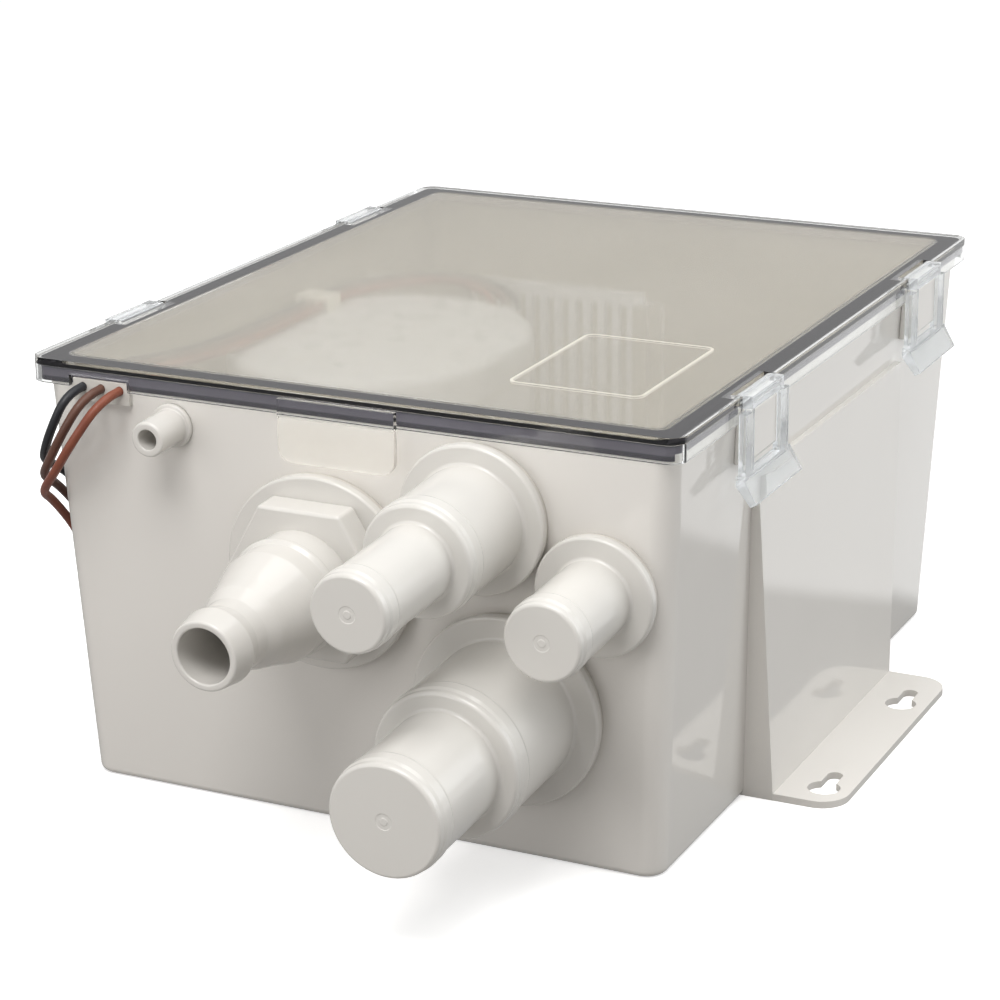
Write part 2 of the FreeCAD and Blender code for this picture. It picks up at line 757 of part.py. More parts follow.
LEG_LOW = "(" + RIM_LOW + " + gasket_leg_rise)"
gasket_outer = block("gasket_outer", LID_X + " - " + SEAL_BACK, LID_Y + " - " + SEAL_BACK, LEG_LOW,
                     "%s - %s" % (PLATE_LOW, LEG_LOW), LID_CORNER + " - " + SEAL_BACK)
LEG_BACK = "(" + SEAL_BACK + " + gasket_leg)"
gasket_under = block("gasket_under", LID_X, LID_Y + " - " + LEG_BACK, LEG_LOW + " - 1",
                     "tub_height + seat_gap - %s + 1" % LEG_LOW, LID_CORNER + " - " + LEG_BACK)
gasket_inner = block("gasket_inner", LID_X + " - " + SEAL_FRONT, LID_Y + " - " + SEAL_FRONT,
                     "tub_height + seat_gap - 1", "%s - tub_height - seat_gap + 2" % PLATE_LOW,
                     "tub_corner / 2 + gasket_gap")
gasket_notches = []
for spot, middle in LATCH_SPOTS.items():
    right_notch = notch_at("gasket_notch_" + spot, middle, LID_X + " - " + SEAL_FRONT + " + gasket_left",
                           "rim_thick")
    gasket_notches += [right_notch, mirror("gasket_notch_left_" + spot, right_notch)]
leg_gap = box("leg_gap", "grommet_x - grommet_width / 2 - notch_clearance", "-%s - 1" % LID_Y,
              RIM_LOW + " - 1",
              "grommet_width + 2 * notch_clearance", "1 + rim_thick + lid_gap", "rim_overlap + seat_gap + 1")
lid_gasket = cut("lid_gasket", gasket_outer, gasket_under, gasket_inner, *gasket_notches, leg_gap)

# Flap latches: each turns on its rod in the lid's edge and hooks under a lug of the tub

BAR_IN = "(" + FLAP_IN + " - bar_lip)"
latches = {}
for spot, middle in LATCH_SPOTS.items():
    knuckle = cylinder("knuckle_" + spot, ALONG_Y, HINGE_X, "%s - knuckle_width / 2" % middle, HINGE_Z,
                       "knuckle_radius", "knuckle_width")
    head = box("head_" + spot, HINGE_X, "%s - knuckle_width / 2" % middle, HINGE_Z + " - knuckle_radius",
               "%s - %s" % (FLAP_OUT, HINGE_X), "knuckle_width", "2 * knuckle_radius")
    neck = box("neck_" + spot, FLAP_IN, "%s - knuckle_width / 2" % middle,
               HINGE_Z + " - shoulder_drop - bar_height", "flap_thick", "knuckle_width",
               "shoulder_drop + bar_height")
    plate = box("plate_" + spot, FLAP_IN, "%s - flap_width / 2" % middle, BAR_LOW, "flap_thick",
                "flap_width", "flap_length - shoulder_drop")
    bar = box("bar_" + spot, BAR_IN, "%s - flap_width / 2" % middle, BAR_LOW, "flap_thick / 2 + bar_lip",
              "flap_width", "bar_height")
    pull = prism("pull_" + spot, [
        (FLAP_IN, BAR_LOW),
        (FLAP_IN + " + pull_out", BAR_LOW + " - pull_down"),
        (FLAP_OUT + " + pull_out - pull_thick / 4", BAR_LOW + " - pull_down + pull_thick / 2"),
        (FLAP_OUT, BAR_LOW + " + bar_height"),
        (FLAP_IN, BAR_LOW + " + bar_height")], middle, "pull_width")
    bore = cylinder("bore_" + spot, ALONG_Y, HINGE_X, "%s - knuckle_width" % middle, HINGE_Z,
                    "rod_radius + rod_clearance", "2 * knuckle_width")
    window = box("window_" + spot, BAR_IN + " - 1", "%s - window_width / 2" % middle, BAR_HIGH,
                 "flap_thick + bar_lip + 2", "window_width", "%s - knuckle_radius - %s" % (HINGE_Z, BAR_HIGH))
    flap = cut("latch_%s_right" % spot, fuse("flap_blank_" + spot, knuckle, head, neck, plate, bar, pull),
               bore, window)
    latches["latch_%s_right" % spot] = flap
    latches["latch_%s_left" % spot] = mirror("latch_%s_left" % spot, flap)

# Filter screen: a slotted panel that slides down between the two guides

screen_panel = box("screen_panel", "screen_left_x", "screen_y - screen_thick / 2",
                   "tub_floor + guide_clearance",
                   "screen_right_x - screen_left_x", "screen_thick",
                   "screen_height - tub_floor - guide_clearance")
screen_span = size("screen_right_x") - size("screen_left_x") - 2 * size("screen_frame")
slot_count = int((screen_span + size("screen_bar")) / (size("screen_bar") + size("screen_slot")))
slots = []
for index in range(slot_count):
    slots.append(box("screen_slot_%d" % index,
                     "screen_left_x + screen_frame + %d * (screen_bar + screen_slot)" % index,
                     "screen_y - screen_thick", "tub_floor + guide_clearance + screen_frame",
                     "screen_slot", "2 * screen_thick",
                     "screen_height - tub_floor - guide_clearance - 2 * screen_frame"))
filter_screen = cut("filter_screen", screen_panel, *slots)

# Stepped inlets: closed spigots that the fitter cuts back to the step the hose needs


def stepped_inlet(name, thread, flange, steps):
    """A spigot with a flange on the wall; steps are (radius, end) pairs, widest first."""
    low = "(seal_thick + flange_thick)"
    points = [(thread + " - fitting_wall", "-thread_length"), (thread, "-thread_length"),
              (thread, "seal_thick"), (flange, "seal_thick"), (flange, low + " - edge_break"),
              (flange + " - edge_break", low)]
    for radius, end in steps:
        points += [(radius, low),
                   (radius, end + " - step_ring_back - step_ring_ramp"),
                   (radius + " + step_ring", end + " - step_ring_back"),
                   (radius + " + step_ring", end + " - step_ring_back + step_ring_flat"),
                   (radius, end + " - step_ring_back + step_ring_flat + step_ring_ramp"),
                   (radius, end + " - edge_break"),
                   (radius + " - edge_break", end)]
        low = end
    last, end = steps[-1]
    points += [("0", end), ("0", end + " - fitting_wall"), (last + " - fitting_wall",
                                                            end + " - fitting_wall")]
    if len(steps) > 1:
        first, first_end = steps[0]
        points += [(last + " - fitting_wall", first_end + " - fitting_wall"),
                   (first + " - fitting_wall", first_end + " - fitting_wall"),
                   (first + " - fitting_wall", "seal_thick"), (thread + " - fitting_wall", "seal_thick")]
    else:
        points += [(last + " - fitting_wall", "seal_thick"), (thread + " - fitting_wall", "seal_thick")]
    return turned(name, points)


def hex_nut(name, radius, across, level):
    """A locknut behind the wall."""
    blank = doc.addObject("Part::Prism", name + "_blank")
    blank.Polygon = 6
    blank.Placement = Placement(Vector(), Rotation(Vector(0, 0, 1), 30))
    bind(blank, Circumradius="(%s + nut_margin)" % radius, Height="nut_thick")
    bore = doc.addObject("Part::Cylinder", name + "_bore")
    bind(bore, Radius=radius + " + nut_clearance", Height="3 * nut_thick", z="-nut_thick")
    return seat_behind(cut(name, blank, bore), across, level)


def seat_behind(piece, across, level):
    """Stand a piece against the inside of the front wall."""
    seat_on_front(piece, across, level)
    piece.setExpression("Placement.Base.y", formula("-%s + (tub_wall + nut_thick) * cos(%s)"
                                                    % (wall_y(level), LEAN_ANGLE)))
    piece.setExpression("Placement.Base.z", formula("%s + (tub_wall + nut_thick) * sin(%s)"
                                                    % (level, LEAN_ANGLE)))
    return piece


inlets = {
    "upper": ("upper_flange * share", [("upper_big", "upper_big_end"), ("upper_small", "upper_end")]),
    "right": ("right_flange * share", [("right_small", "right_end")]),
    "lower": ("lower_flange * share", [("lower_big", "lower_big_end"), ("lower_small", "lower_end")]),
}
fittings = {}
for port, (flange, steps) in inlets.items():
    across, level, thread = PORTS[port]
    inlet = stepped_inlet("inlet_" + port, thread, flange, steps)
    fittings["inlet_" + port] = seat_on_front(inlet, across, level)
    seal = ring("inlet_seal_" + port, thread + " + nut_clearance", flange + " - seal_inset", "0",
                "seal_thick")
    fittings["inlet_seal_" + port] = seat_on_front(seal, across, level)
    fittings["inlet_nut_" + port] = hex_nut("inlet_nut_" + port, thread, across, level)

# Discharge: a bulkhead barb with a valve chamber, its seat and tail, a flap and the flap's pin

BEAD_LOW = "(outlet_body_end - outlet_bead_back)"
outlet_points = [
    ("valve_chamber", "-thread_length"), ("outlet_thread", "-thread_length"), ("outlet_thread", "seal_thick"),
    ("outlet_flange", "seal_thick"), ("outlet_flange", "seal_thick + flange_thick - edge_break"),
    ("outlet_flange - edge_break", "seal_thick + flange_thick"), ("outlet_body", "seal_thick + flange_thick"),
    ("outlet_body", BEAD_LOW), ("outlet_body + outlet_bead", BEAD_LOW + " + outlet_bead_ramp"),
    ("outlet_body + outlet_bead", BEAD_LOW + " + 2 * outlet_bead_ramp"),
    ("outlet_body", BEAD_LOW + " + 3 * outlet_bead_ramp"),
    ("outlet_body", "outlet_body_end"), ("outlet_barb + cone_shoulder", "outlet_cone_end - cone_step"),
    ("outlet_barb + cone_shoulder / 2", "outlet_cone_end"),
    ("outlet_neck + neck_taper", "outlet_cone_end + cone_step"),
    ("outlet_neck", "outlet_neck_end"), ("outlet_barb", "outlet_neck_end + cone_step"),
    ("outlet_neck", "outlet_end"), ("outlet_bore", "outlet_end"),
    ("outlet_bore", "chamber_end + chamber_taper"), ("valve_chamber", "chamber_end")]
outlet_turned = turned("outlet_turned", outlet_points)
collar = doc.addObject("Part::Prism", "collar")
collar.Polygon = 6
bind(collar, Circumradius="collar_flats / sqrt(3)", Height="collar_end - seal_thick - flange_thick",
     z="seal_thick + flange_thick")
collar_bore = doc.addObject("Part::Cylinder", "collar_bore")
bind(collar_bore, Radius="outlet_body - fitting_wall / 2", Height="3 * collar_end", z="-collar_end")
VALVE_PLUG = "(outlet_plug - thread_length)"
PIN_DEPTH = "(" + VALVE_PLUG + " + valve_knuckle + valve_gap)"
pin_hole = cylinder("pin_hole", ALONG_X, "-valve_pin_length / 2", "valve_pin_above", PIN_DEPTH,
                    "valve_pin_radius", "valve_pin_length")
outlet_cut = cut("discharge_fitting", fuse("outlet_blank", outlet_turned, cut("collar_ring", collar,
                                                                              collar_bore)),
                 pin_hole)
fittings["discharge_fitting"] = seat_on_front(outlet_cut, "outlet_x", "outlet_z")
outlet_seal = ring("discharge_seal", "outlet_thread + nut_clearance", "outlet_flange - seal_inset", "0",
                   "seal_thick")
fittings["discharge_seal"] = seat_on_front(outlet_seal, "outlet_x", "outlet_z")
fittings["discharge_nut"] = hex_nut("discharge_nut", "outlet_thread", "outlet_x", "outlet_z")
TAIL_END = "(-thread_length - outlet_stop - outlet_tail_length)"
valve_seat = turned("valve_seat", [
    ("seat_bore", TAIL_END), ("outlet_tail - edge_break", TAIL_END), ("outlet_tail",
                                                                      TAIL_END + " + edge_break"),
    ("outlet_tail", "-thread_length - outlet_stop"), ("outlet_thread", "-thread_length - outlet_stop"),
    ("outlet_thread", "-thread_length"), ("valve_chamber", "-thread_length"), ("valve_chamber", VALVE_PLUG),
    ("seat_bore", VALVE_PLUG)])
fittings["valve_seat"] = seat_on_front(valve_seat, "outlet_x", "outlet_z")
valve_disc = doc.addObject("Part::Cylinder", "valve_disc")
bind(valve_disc, Radius="flap_valve_radius", Height="flap_valve_thick", z=VALVE_PLUG + " + valve_gap")
valve_knuckle = cylinder("valve_knuckle_bar", ALONG_X, "-valve_knuckle_length / 2", "valve_pin_above",
                         PIN_DEPTH,
                         "valve_knuckle", "valve_knuckle_length")
valve_web = box("valve_web", "-valve_knuckle_length / 2", "flap_valve_radius / 2",
                VALVE_PLUG + " + valve_gap",
                "valve_knuckle_length", "valve_pin_above - flap_valve_radius / 2", "flap_valve_thick")
valve_bore = cylinder("valve_bore", ALONG_X, "-valve_pin_length", "valve_pin_above", PIN_DEPTH,
                      "valve_pin_radius + valve_pin_clearance", "2 * valve_pin_length")
check_flap = cut("check_flap", fuse("check_flap_blank", valve_disc, valve_knuckle, valve_web), valve_bore)
fittings["check_flap"] = seat_on_front(check_flap, "outlet_x", "outlet_z")
pin_bar = cylinder("pin_bar", ALONG_X, "-valve_pin_length / 2", "valve_pin_above", PIN_DEPTH,
                   "valve_pin_radius", "valve_pin_length")
fittings["check_flap_pin"] = seat_on_front(group("check_flap_pin", [pin_bar]), "outlet_x", "outlet_z")

# Vent nipple and the grommet of the three leads, both in the front wall

vent_nipple = turned("vent_nipple", [
    ("vent_bore", "-2 * tub_wall"), ("vent_radius", "-2 * tub_wall"), ("vent_radius", "0"), ("vent_base",
                                                                                             "0"),
    ("vent_base", "flange_thick / 2"), ("vent_radius", "flange_thick / 2"),
    ("vent_radius", "vent_end - edge_break"), ("vent_radius - edge_break", "vent_end"), ("vent_bore",
                                                                                         "vent_end")])
fittings["vent_nipple"] = seat_on_front(vent_nipple, "vent_x", "vent_z")
LEAD_Z = "(tub_height - lead_drop)"
GROMMET_OUT = "(-%s - grommet_lip)" % wall_y("tub_height")
GROMMET_IN = "(-%s + tub_wall + grommet_lip)" % wall_y("tub_height - grommet_height")
grommet_core = box("grommet_core", "grommet_x - grommet_width / 2", GROMMET_OUT,
                   "tub_height - grommet_height",
                   "grommet_width", "%s - %s" % (GROMMET_IN, GROMMET_OUT), "grommet_height")
grommet_holes = [cylinder("grommet_hole_%d" % index, ALONG_Y, "grommet_x + %d * lead_pitch" % index,
                          GROMMET_OUT + " - 1", LEAD_Z, "lead_radius + lead_hole_clearance",
                          "%s - %s + 2" % (GROMMET_IN, GROMMET_OUT)) for index in (-1, 0, 1)]
wire_grommet = cut("wire_grommet", grommet_core, *grommet_holes)

# Pump: an oval housing on a strainer, under a cap

MOTOR_Y = "(pump_y + motor_shift)"
FLOAT_X = "(pump_x + float_shift_x)"
FLOAT_Y = "(pump_y + float_shift_y)"
STRAINER_TOP = "(tub_floor + strainer_height)"
BULKHEAD_TOP = "(bulkhead_low + bulkhead_thick)"


def oval(name, inset, low, height, top=None):
    """An upright oval slab about the pump's middle, smaller all round by the inset."""
    piece = block(name, "pump_half_width - (%s)" % inset, "pump_half_length - (%s)" % inset, low, height,
                  "pump_half_width - (%s) - oval_flat" % inset, top=top)
    return bind(piece, x="pump_x", y="pump_y")


def upright(name, across, along, low, radius, height):
    return cylinder(name, ALONG_Z, across, along, low, radius, height)


def spoke(name, across, along, low, angle, inner, length, thick, height):
    """A block that points away from an upright axis, in the direction of the angle."""
    made = box(name, "%s + (%s) * cos(%s deg) + (%s) / 2 * sin(%s deg)" % (across, inner, angle, thick,
                                                                           angle),
               "%s + (%s) * sin(%s deg) - (%s) / 2 * cos(%s deg)" % (along, inner, angle, thick, angle),
               low, length, thick, height)
    made.Placement.Rotation = Rotation(Vector(0, 0, 1), angle)
    return made


SCREW_SPOTS = [("(pump_x - screw_out)", "(pump_y + screw_rear)"), ("(pump_x + screw_out)",
                                                                   "(pump_y + screw_rear)"),
               ("(pump_x - screw_out)", "(pump_y - screw_front)")]
strainer_pan = cut("strainer_pan", oval("strainer_outer", "0", "tub_floor", "strainer_height"),
                   oval("strainer_inner", "strainer_wall", "tub_floor + strainer_wall", "strainer_height"))
pillars = [upright("pillar_%d" % index, across, along, "tub_floor", "screw_head + pillar_wall",
                   "strainer_height")
           for index, (across, along) in enumerate(SCREW_SPOTS)]
strainer_cuts = []
for index, (across, along) in enumerate(SCREW_SPOTS):
    strainer_cuts.append(upright("screw_way_%d" % index, across, along, "0", "screw_radius",
                                 "2 * strainer_height"))
    strainer_cuts.append(upright("head_way_%d" % index, across, along, "0", "screw_head",
                                 "tub_floor + screw_head_height"))
slot_step = 180 / size("strainer_slots")
for index in range(int(size("strainer_slots"))):
    for side, along in ((0, "pump_y + pump_half_length - pump_half_width"),
                        (180, "pump_y - pump_half_length + pump_half_width")):
        strainer_cuts.append(spoke("strainer_slot_%d_%d" % (side, index), "pump_x", along,
                                   "tub_floor + strainer_wall + strainer_slot_rise",
                                   side + slot_step * (index + 0.5),
                                   "pump_half_width - strainer_wall - oval_flat",
                                   "2 * strainer_wall", "strainer_slot", "strainer_slot_height"))
strainer_base = cut("strainer_base", fuse("strainer_blank", strainer_pan, *pillars), *strainer_cuts)
screws = []
for index, (across, along) in enumerate(SCREW_SPOTS):
    head = upright("screw_head_%d" % index, across, along, "tub_floor", "screw_head", "screw_head_height")
    shank = upright("screw_shank_%d" % index, across, along, "tub_floor + screw_head_height / 2",
                    "screw_radius",
                    "screw_head_height / 2 + screw_length")
    recess = spoke("screw_cross_%d" % index, across, along, "0", 0, "-screw_head / 2", "screw_head", "1",
                   "tub_floor + screw_head_height / 2")
    screws.append(cut("screw_%d" % index, fuse("screw_blank_%d" % index, head, shank), recess))
base_screws = group("base_screws", screws)

SPOUT_X = "(pump_x + spout_shift)"
SPOUT_Z = "((volute_low + bulkhead_low) / 2)"
shell_wall_ring = cut("shell_ring", oval("shell_outer", "0", STRAINER_TOP, "shell_top - " + STRAINER_TOP),
                      oval("shell_inner", "shell_wall", "tub_floor", "shell_top"))
bulkhead = oval("bulkhead", "shell_wall / 2", "bulkhead_low", "bulkhead_thick")
BOSS_HEIGHT = "(bulkhead_low + bulkhead_thick / 2 - " + STRAINER_TOP + ")"
bosses = []
shell_cuts = []
for index, (across, along) in enumerate(SCREW_SPOTS):
    bosses.append(upright("boss_%d" % index, across, along, STRAINER_TOP, "screw_head + boss_wall",
                          BOSS_HEIGHT))
    shell_cuts.append(upright("boss_hole_%d" % index, across, along, "tub_floor", "screw_radius",
                              "screw_head_height + screw_length"))
boss_group = common("boss_group", group("boss_blanks", bosses),
                    oval("boss_limit", "shell_wall / 2", STRAINER_TOP, BOSS_HEIGHT))
shell_cuts.append(upright("seal_hole", "pump_x", MOTOR_Y, "bulkhead_low - 1", "seal_radius",
                          "bulkhead_thick + 2"))
shell_cuts.append(upright("float_hole", FLOAT_X, FLOAT_Y, "bulkhead_low - 1",
                          "float_radius + float_clearance + float_tube_wall", "bulkhead_thick + 2"))
shell_cuts.append(cylinder("spout_hole", ALONG_Y, SPOUT_X, "spout_end_y", SPOUT_Z, "spout_radius",
                           "pump_y - pump_half_length / 2 - spout_end_y"))
pump_shell = cut("pump_shell", fuse("shell_blank", shell_wall_ring, bulkhead, boss_group), *shell_cuts)

CAP_LOW = "(shell_top + cap_seal_thick)"
CAP_TOP = "(shell_top + cap_seal_thick + cap_height)"
cap_blank = oval("cap_blank", "-cap_overhang", CAP_LOW, "cap_height", top="cap_round")
cap_hollow = oval("cap_hollow", "cap_wall - cap_overhang", "shell_top",
                  "cap_seal_thick + cap_height - cap_wall")
spigot = cut("spigot", oval("spigot_outer", "shell_wall + guide_clearance", CAP_LOW + " - cap_spigot",
                            "cap_height + cap_spigot - cap_wall / 2"),
             oval("spigot_inner", "shell_wall + guide_clearance + cap_seal_thick",
                  CAP_LOW + " - cap_spigot - 1",
                  "cap_height + cap_spigot + 1 - cap_wall"))
GLAND_Y = "(pump_y + pump_half_length + cap_overhang + gland_reach)"
GLAND_X = "(pump_x + gland_shift)"
GLAND_Z = "(" + CAP_LOW + " + gland_rise)"
gland = box("gland", GLAND_X + " - lead_pitch - gland_side", GLAND_Y + " - gland_length",
            GLAND_Z + " - gland_height / 2", "2 * (lead_pitch + gland_side)", "gland_length", "gland_height")
pump_cap = fuse("pump_cap", cut("cap_shell", cap_blank, cap_hollow), spigot, gland)
cap_seal = cut("cap_seal_ring", oval("cap_seal_outer", "0", "shell_top", "cap_seal_thick"),
               oval("cap_seal_inner", "shell_wall", "shell_top - 1", "cap_seal_thick + 2"))

# Volute and impeller under the bulkhead

volute_body = upright("volute_body", "pump_x", MOTOR_Y, "volute_low", "volute_radius",
                      "bulkhead_low - volute_low")
spout = cylinder("spout", ALONG_Y, SPOUT_X, "spout_end_y", SPOUT_Z, "spout_radius",
                 "%s - spout_end_y" % MOTOR_Y)
volute_hollow = upright("volute_hollow", "pump_x", MOTOR_Y, "volute_low + volute_wall",
                        "volute_radius - volute_wall", "bulkhead_low - volute_low")
spout_bore = cylinder("spout_bore_cut", ALONG_Y, SPOUT_X, "spout_end_y - 1", SPOUT_Z, "spout_bore",
                      "%s - spout_end_y + 1" % MOTOR_Y)
eye = upright("eye", "pump_x", MOTOR_Y, "volute_low - 1", "inlet_eye", "2 * volute_wall")
volute = cut("volute", fuse("volute_blank", volute_body, spout), volute_hollow, spout_bore, eye)
DISC_LOW = "(bulkhead_low - 3 * impeller_disc)"
VANE_LOW = "(" + DISC_LOW + " - impeller_vane)"
impeller_parts = [
    upright("impeller_plate", "pump_x", MOTOR_Y, DISC_LOW, "impeller_radius", "impeller_disc"),
    upright("impeller_hub", "pump_x", MOTOR_Y, VANE_LOW, "hub_radius", "impeller_vane + 2 * impeller_disc")]
vane_count = int(size("vane_count"))
for index in range(vane_count):
    impeller_parts.append(spoke("vane_%d" % index, "pump_x", MOTOR_Y, VANE_LOW, 360.0 / vane_count * index,
                                "hub_radius / 2", "impeller_radius - hub_radius / 2", "vane_thick",
                                "impeller_vane + impeller_disc / 2"))
shaft_bore = upright("impeller_bore", "pump_x", MOTOR_Y, "0", "shaft_radius", "2 * bulkhead_low")
impeller = cut("impeller", fuse("impeller_blank", *impeller_parts), shaft_bore)

# Motor: a sealed can on the bulkhead, with its magnets, wound rotor, brushes and bushes

CAN_TOP = "(" + BULKHEAD_TOP + " + can_height)"
SHAFT_TOP = "(" + CAN_TOP + " + can_cap_thick / 2)"
motor_shaft = upright("motor_shaft", "pump_x", MOTOR_Y, VANE_LOW, "shaft_radius", "%s - %s" % (SHAFT_TOP,
                                                                                               VANE_LOW))


def sleeve(name, low, inner, outer, height):
    """An upright ring about the motor's axis."""
    return cut(name, upright(name + "_outer", "pump_x", MOTOR_Y, low, outer, height),
               upright(name + "_inner", "pump_x", MOTOR_Y, "%s - 1" % low, inner, "%s + 2" % height))


BUSH_BORE = "(shaft_radius + running_clearance)"
shaft_seal = sleeve("shaft_seal", "bulkhead_low", BUSH_BORE, "seal_radius", "bulkhead_thick")
can_outer = upright("can_outer", "pump_x", MOTOR_Y, BULKHEAD_TOP, "can_radius", "can_height")
can_inner = upright("can_inner", "pump_x", MOTOR_Y, BULKHEAD_TOP + " + can_wall", "can_radius - can_wall",
                    "can_height")
can_hole = upright("can_hole", "pump_x", MOTOR_Y, BULKHEAD_TOP + " - 1", "bush_radius", "can_wall + 2")
motor_can = cut("motor_can", can_outer, can_inner, can_hole)
magnet_ring = sleeve("magnet_ring", "magnet_low", "can_radius - can_wall - magnet_thick",
                     "can_radius - can_wall", "magnet_height")
magnet_gap = box("magnet_gap", "pump_x - magnet_thick", "%s - 2 * can_radius" % MOTOR_Y, "magnet_low - 1",
                 "2 * magnet_thick", "4 * can_radius", "magnet_height + 2")
magnets = cut("magnets", magnet_ring, magnet_gap)
ARMATURE_LOW = "(magnet_low + magnet_height / 2 - armature_height / 2)"
armature_slots = []
for index in range(vane_count):
    armature_slots.append(spoke("armature_slot_%d" % index, "pump_x", MOTOR_Y, ARMATURE_LOW + " - 1",
                                360.0 / vane_count * index, "hub_radius", "armature_radius", "vane_thick",
                                "armature_height + 2"))
armature = cut("armature", sleeve("armature_core", ARMATURE_LOW, "shaft_radius", "armature_radius",
                                  "armature_height"), *armature_slots)
COMMUTATOR_LOW = "(" + ARMATURE_LOW + " + armature_height + commutator_gap)"
commutator = sleeve("commutator", COMMUTATOR_LOW, "shaft_radius", "commutator_radius", "commutator_height")
low_bush = sleeve("low_bush", BULKHEAD_TOP, BUSH_BORE, "bush_radius", "bush_height")
high_bush = sleeve("high_bush", CAN_TOP + " - bush_height / 2", BUSH_BORE, "bush_radius", "bush_height")
motor_bushes = group("motor_bushes", [low_bush, high_bush])
BRUSH_Z = "(" + COMMUTATOR_LOW + " + commutator_height / 2)"
brushes = []
holders = []
brush_ways = []
for side, angle in (("right", 0), ("left", 180)):
    place = ("pump_x", MOTOR_Y, BRUSH_Z + " - brush_size / 2", angle,
             "commutator_radius + 2 * running_clearance",
             "can_radius / 2 - commutator_radius + brush_size", "brush_size", "brush_size")
    brushes.append(spoke("brush_" + side, *place))
    brush_ways.append(spoke("brush_way_" + side, *place))
    holders.append(spoke("holder_" + side, "pump_x", MOTOR_Y, BRUSH_Z + " - brush_size", angle,
                         "can_radius / 2 - holder_wall", "brush_size + holder_wall", "2 * brush_size",
                         "%s - %s + brush_size" % (CAN_TOP, BRUSH_Z)))
motor_brushes = group("motor_brushes", brushes)
end_plate = upright("end_plate", "pump_x", MOTOR_Y, CAN_TOP, "can_radius", "can_cap_thick")
end_bush_seat = upright("end_bush_seat", "pump_x", MOTOR_Y, CAN_TOP + " - bush_height / 2",
                        "bush_radius + can_wall",
                        "bush_height / 2")
end_bush_way = upright("end_bush_way", "pump_x", MOTOR_Y, CAN_TOP + " - bush_height", "bush_radius",
                       "2 * bush_height")
motor_end_cap = cut("motor_end_cap", fuse("end_blank", end_plate, end_bush_seat, *holders), *brush_ways,
                    end_bush_way)

# Level switch: a float with a magnet rides in a tube past a sealed reed switch

TUBE_RADIUS = "(float_radius + float_clearance + float_tube_wall)"
FLOAT_LOW = "(float_tube_low + float_tube_wall + guide_clearance)"
TUBE_TOP = "(" + FLOAT_LOW + " + float_height + float_travel + guide_clearance)"
tube_outer = upright("tube_outer", FLOAT_X, FLOAT_Y, "float_tube_low", TUBE_RADIUS,
                     TUBE_TOP + " - float_tube_low")
tube_collar = upright("tube_collar", FLOAT_X, FLOAT_Y, BULKHEAD_TOP, TUBE_RADIUS + " + float_collar",
                      "float_tube_wall")
tube_bore = upright("tube_bore", FLOAT_X, FLOAT_Y, "float_tube_low + float_tube_wall",
                    "float_radius + float_clearance", TUBE_TOP)
tube_mouth = upright("tube_mouth", FLOAT_X, FLOAT_Y, "0", "float_radius - float_lip", TUBE_TOP)
float_tube = cut("float_tube", fuse("tube_blank", tube_outer, tube_collar), tube_bore, tube_mouth)
float_stop = cut("float_stop", upright("stop_outer", FLOAT_X, FLOAT_Y, TUBE_TOP, TUBE_RADIUS,
                                       "float_tube_wall"),
                 upright("stop_inner", FLOAT_X, FLOAT_Y, "0", "float_radius - float_lip", "shell_top"))
float_body = upright("float_body", FLOAT_X, FLOAT_Y, FLOAT_LOW, "float_radius", "float_height")
MAGNET_SEAT = "(" + FLOAT_LOW + " + float_height - float_magnet_height)"
float_pocket = upright("float_pocket", FLOAT_X, FLOAT_Y, MAGNET_SEAT, "float_magnet_radius", "float_height")
level_float = cut("level_float", float_body, float_pocket)
float_magnet = upright("float_magnet", FLOAT_X, FLOAT_Y, MAGNET_SEAT, "float_magnet_radius",
                       "float_magnet_height")
switch_box = box("switch_box", FLOAT_X + " - %s - switch_depth" % TUBE_RADIUS,
                 FLOAT_Y + " - switch_width / 2",
                 "switch_low", "switch_depth + float_radius / 3", "switch_width", "switch_height")
switch_back = upright("switch_back", FLOAT_X, FLOAT_Y, "0", TUBE_RADIUS, "shell_top")
level_switch = cut("level_switch", switch_box, switch_back)


# How far the left wall, the front wall and the rim lie from where the routes below were laid out
WALL_STEP = (size("planned_width") - size("base_width")) / 2
FRONT_STEP = (size("planned_depth") - size("base_depth")) / 2
RIM_STEP = size("tub_height") - size("planned_height")
# Behind the first of these levels of y an outside lead stays put; from the second on it follows the wall
FRONT_FROM = -50.0
FRONT_FULL = -90.0


def moved(value, step):
    """The value of a formula, or a laid-out number moved by a step."""
    return number(value) if isinstance(value, str) else value + step


def inside_spots(points):
    """The corners of a lead inside the tub, which follow its walls and rim."""
    return [Vector(moved(across, WALL_STEP), moved(along, FRONT_STEP), moved(level, RIM_STEP))
            for across, along, level in points]


def outside_spots(points):
    """The corners of a lead outside the tub, which follow its left wall, front corner and height."""
    spots = []
    for across, along, level in points:
        share = 1 if isinstance(along, str) else (FRONT_FROM - along) / (FRONT_FROM - FRONT_FULL)
        rise = 0 if isinstance(level, str) else level / size("planned_height")
        spots.append(Vector(moved(across, WALL_STEP), moved(along, FRONT_STEP * min(max(share, 0), 1)),
                            moved(level, RIM_STEP * rise)))
    return spots


# How much of a straight run the arc at each of its ends may take
BEND_SHARE = 0.45


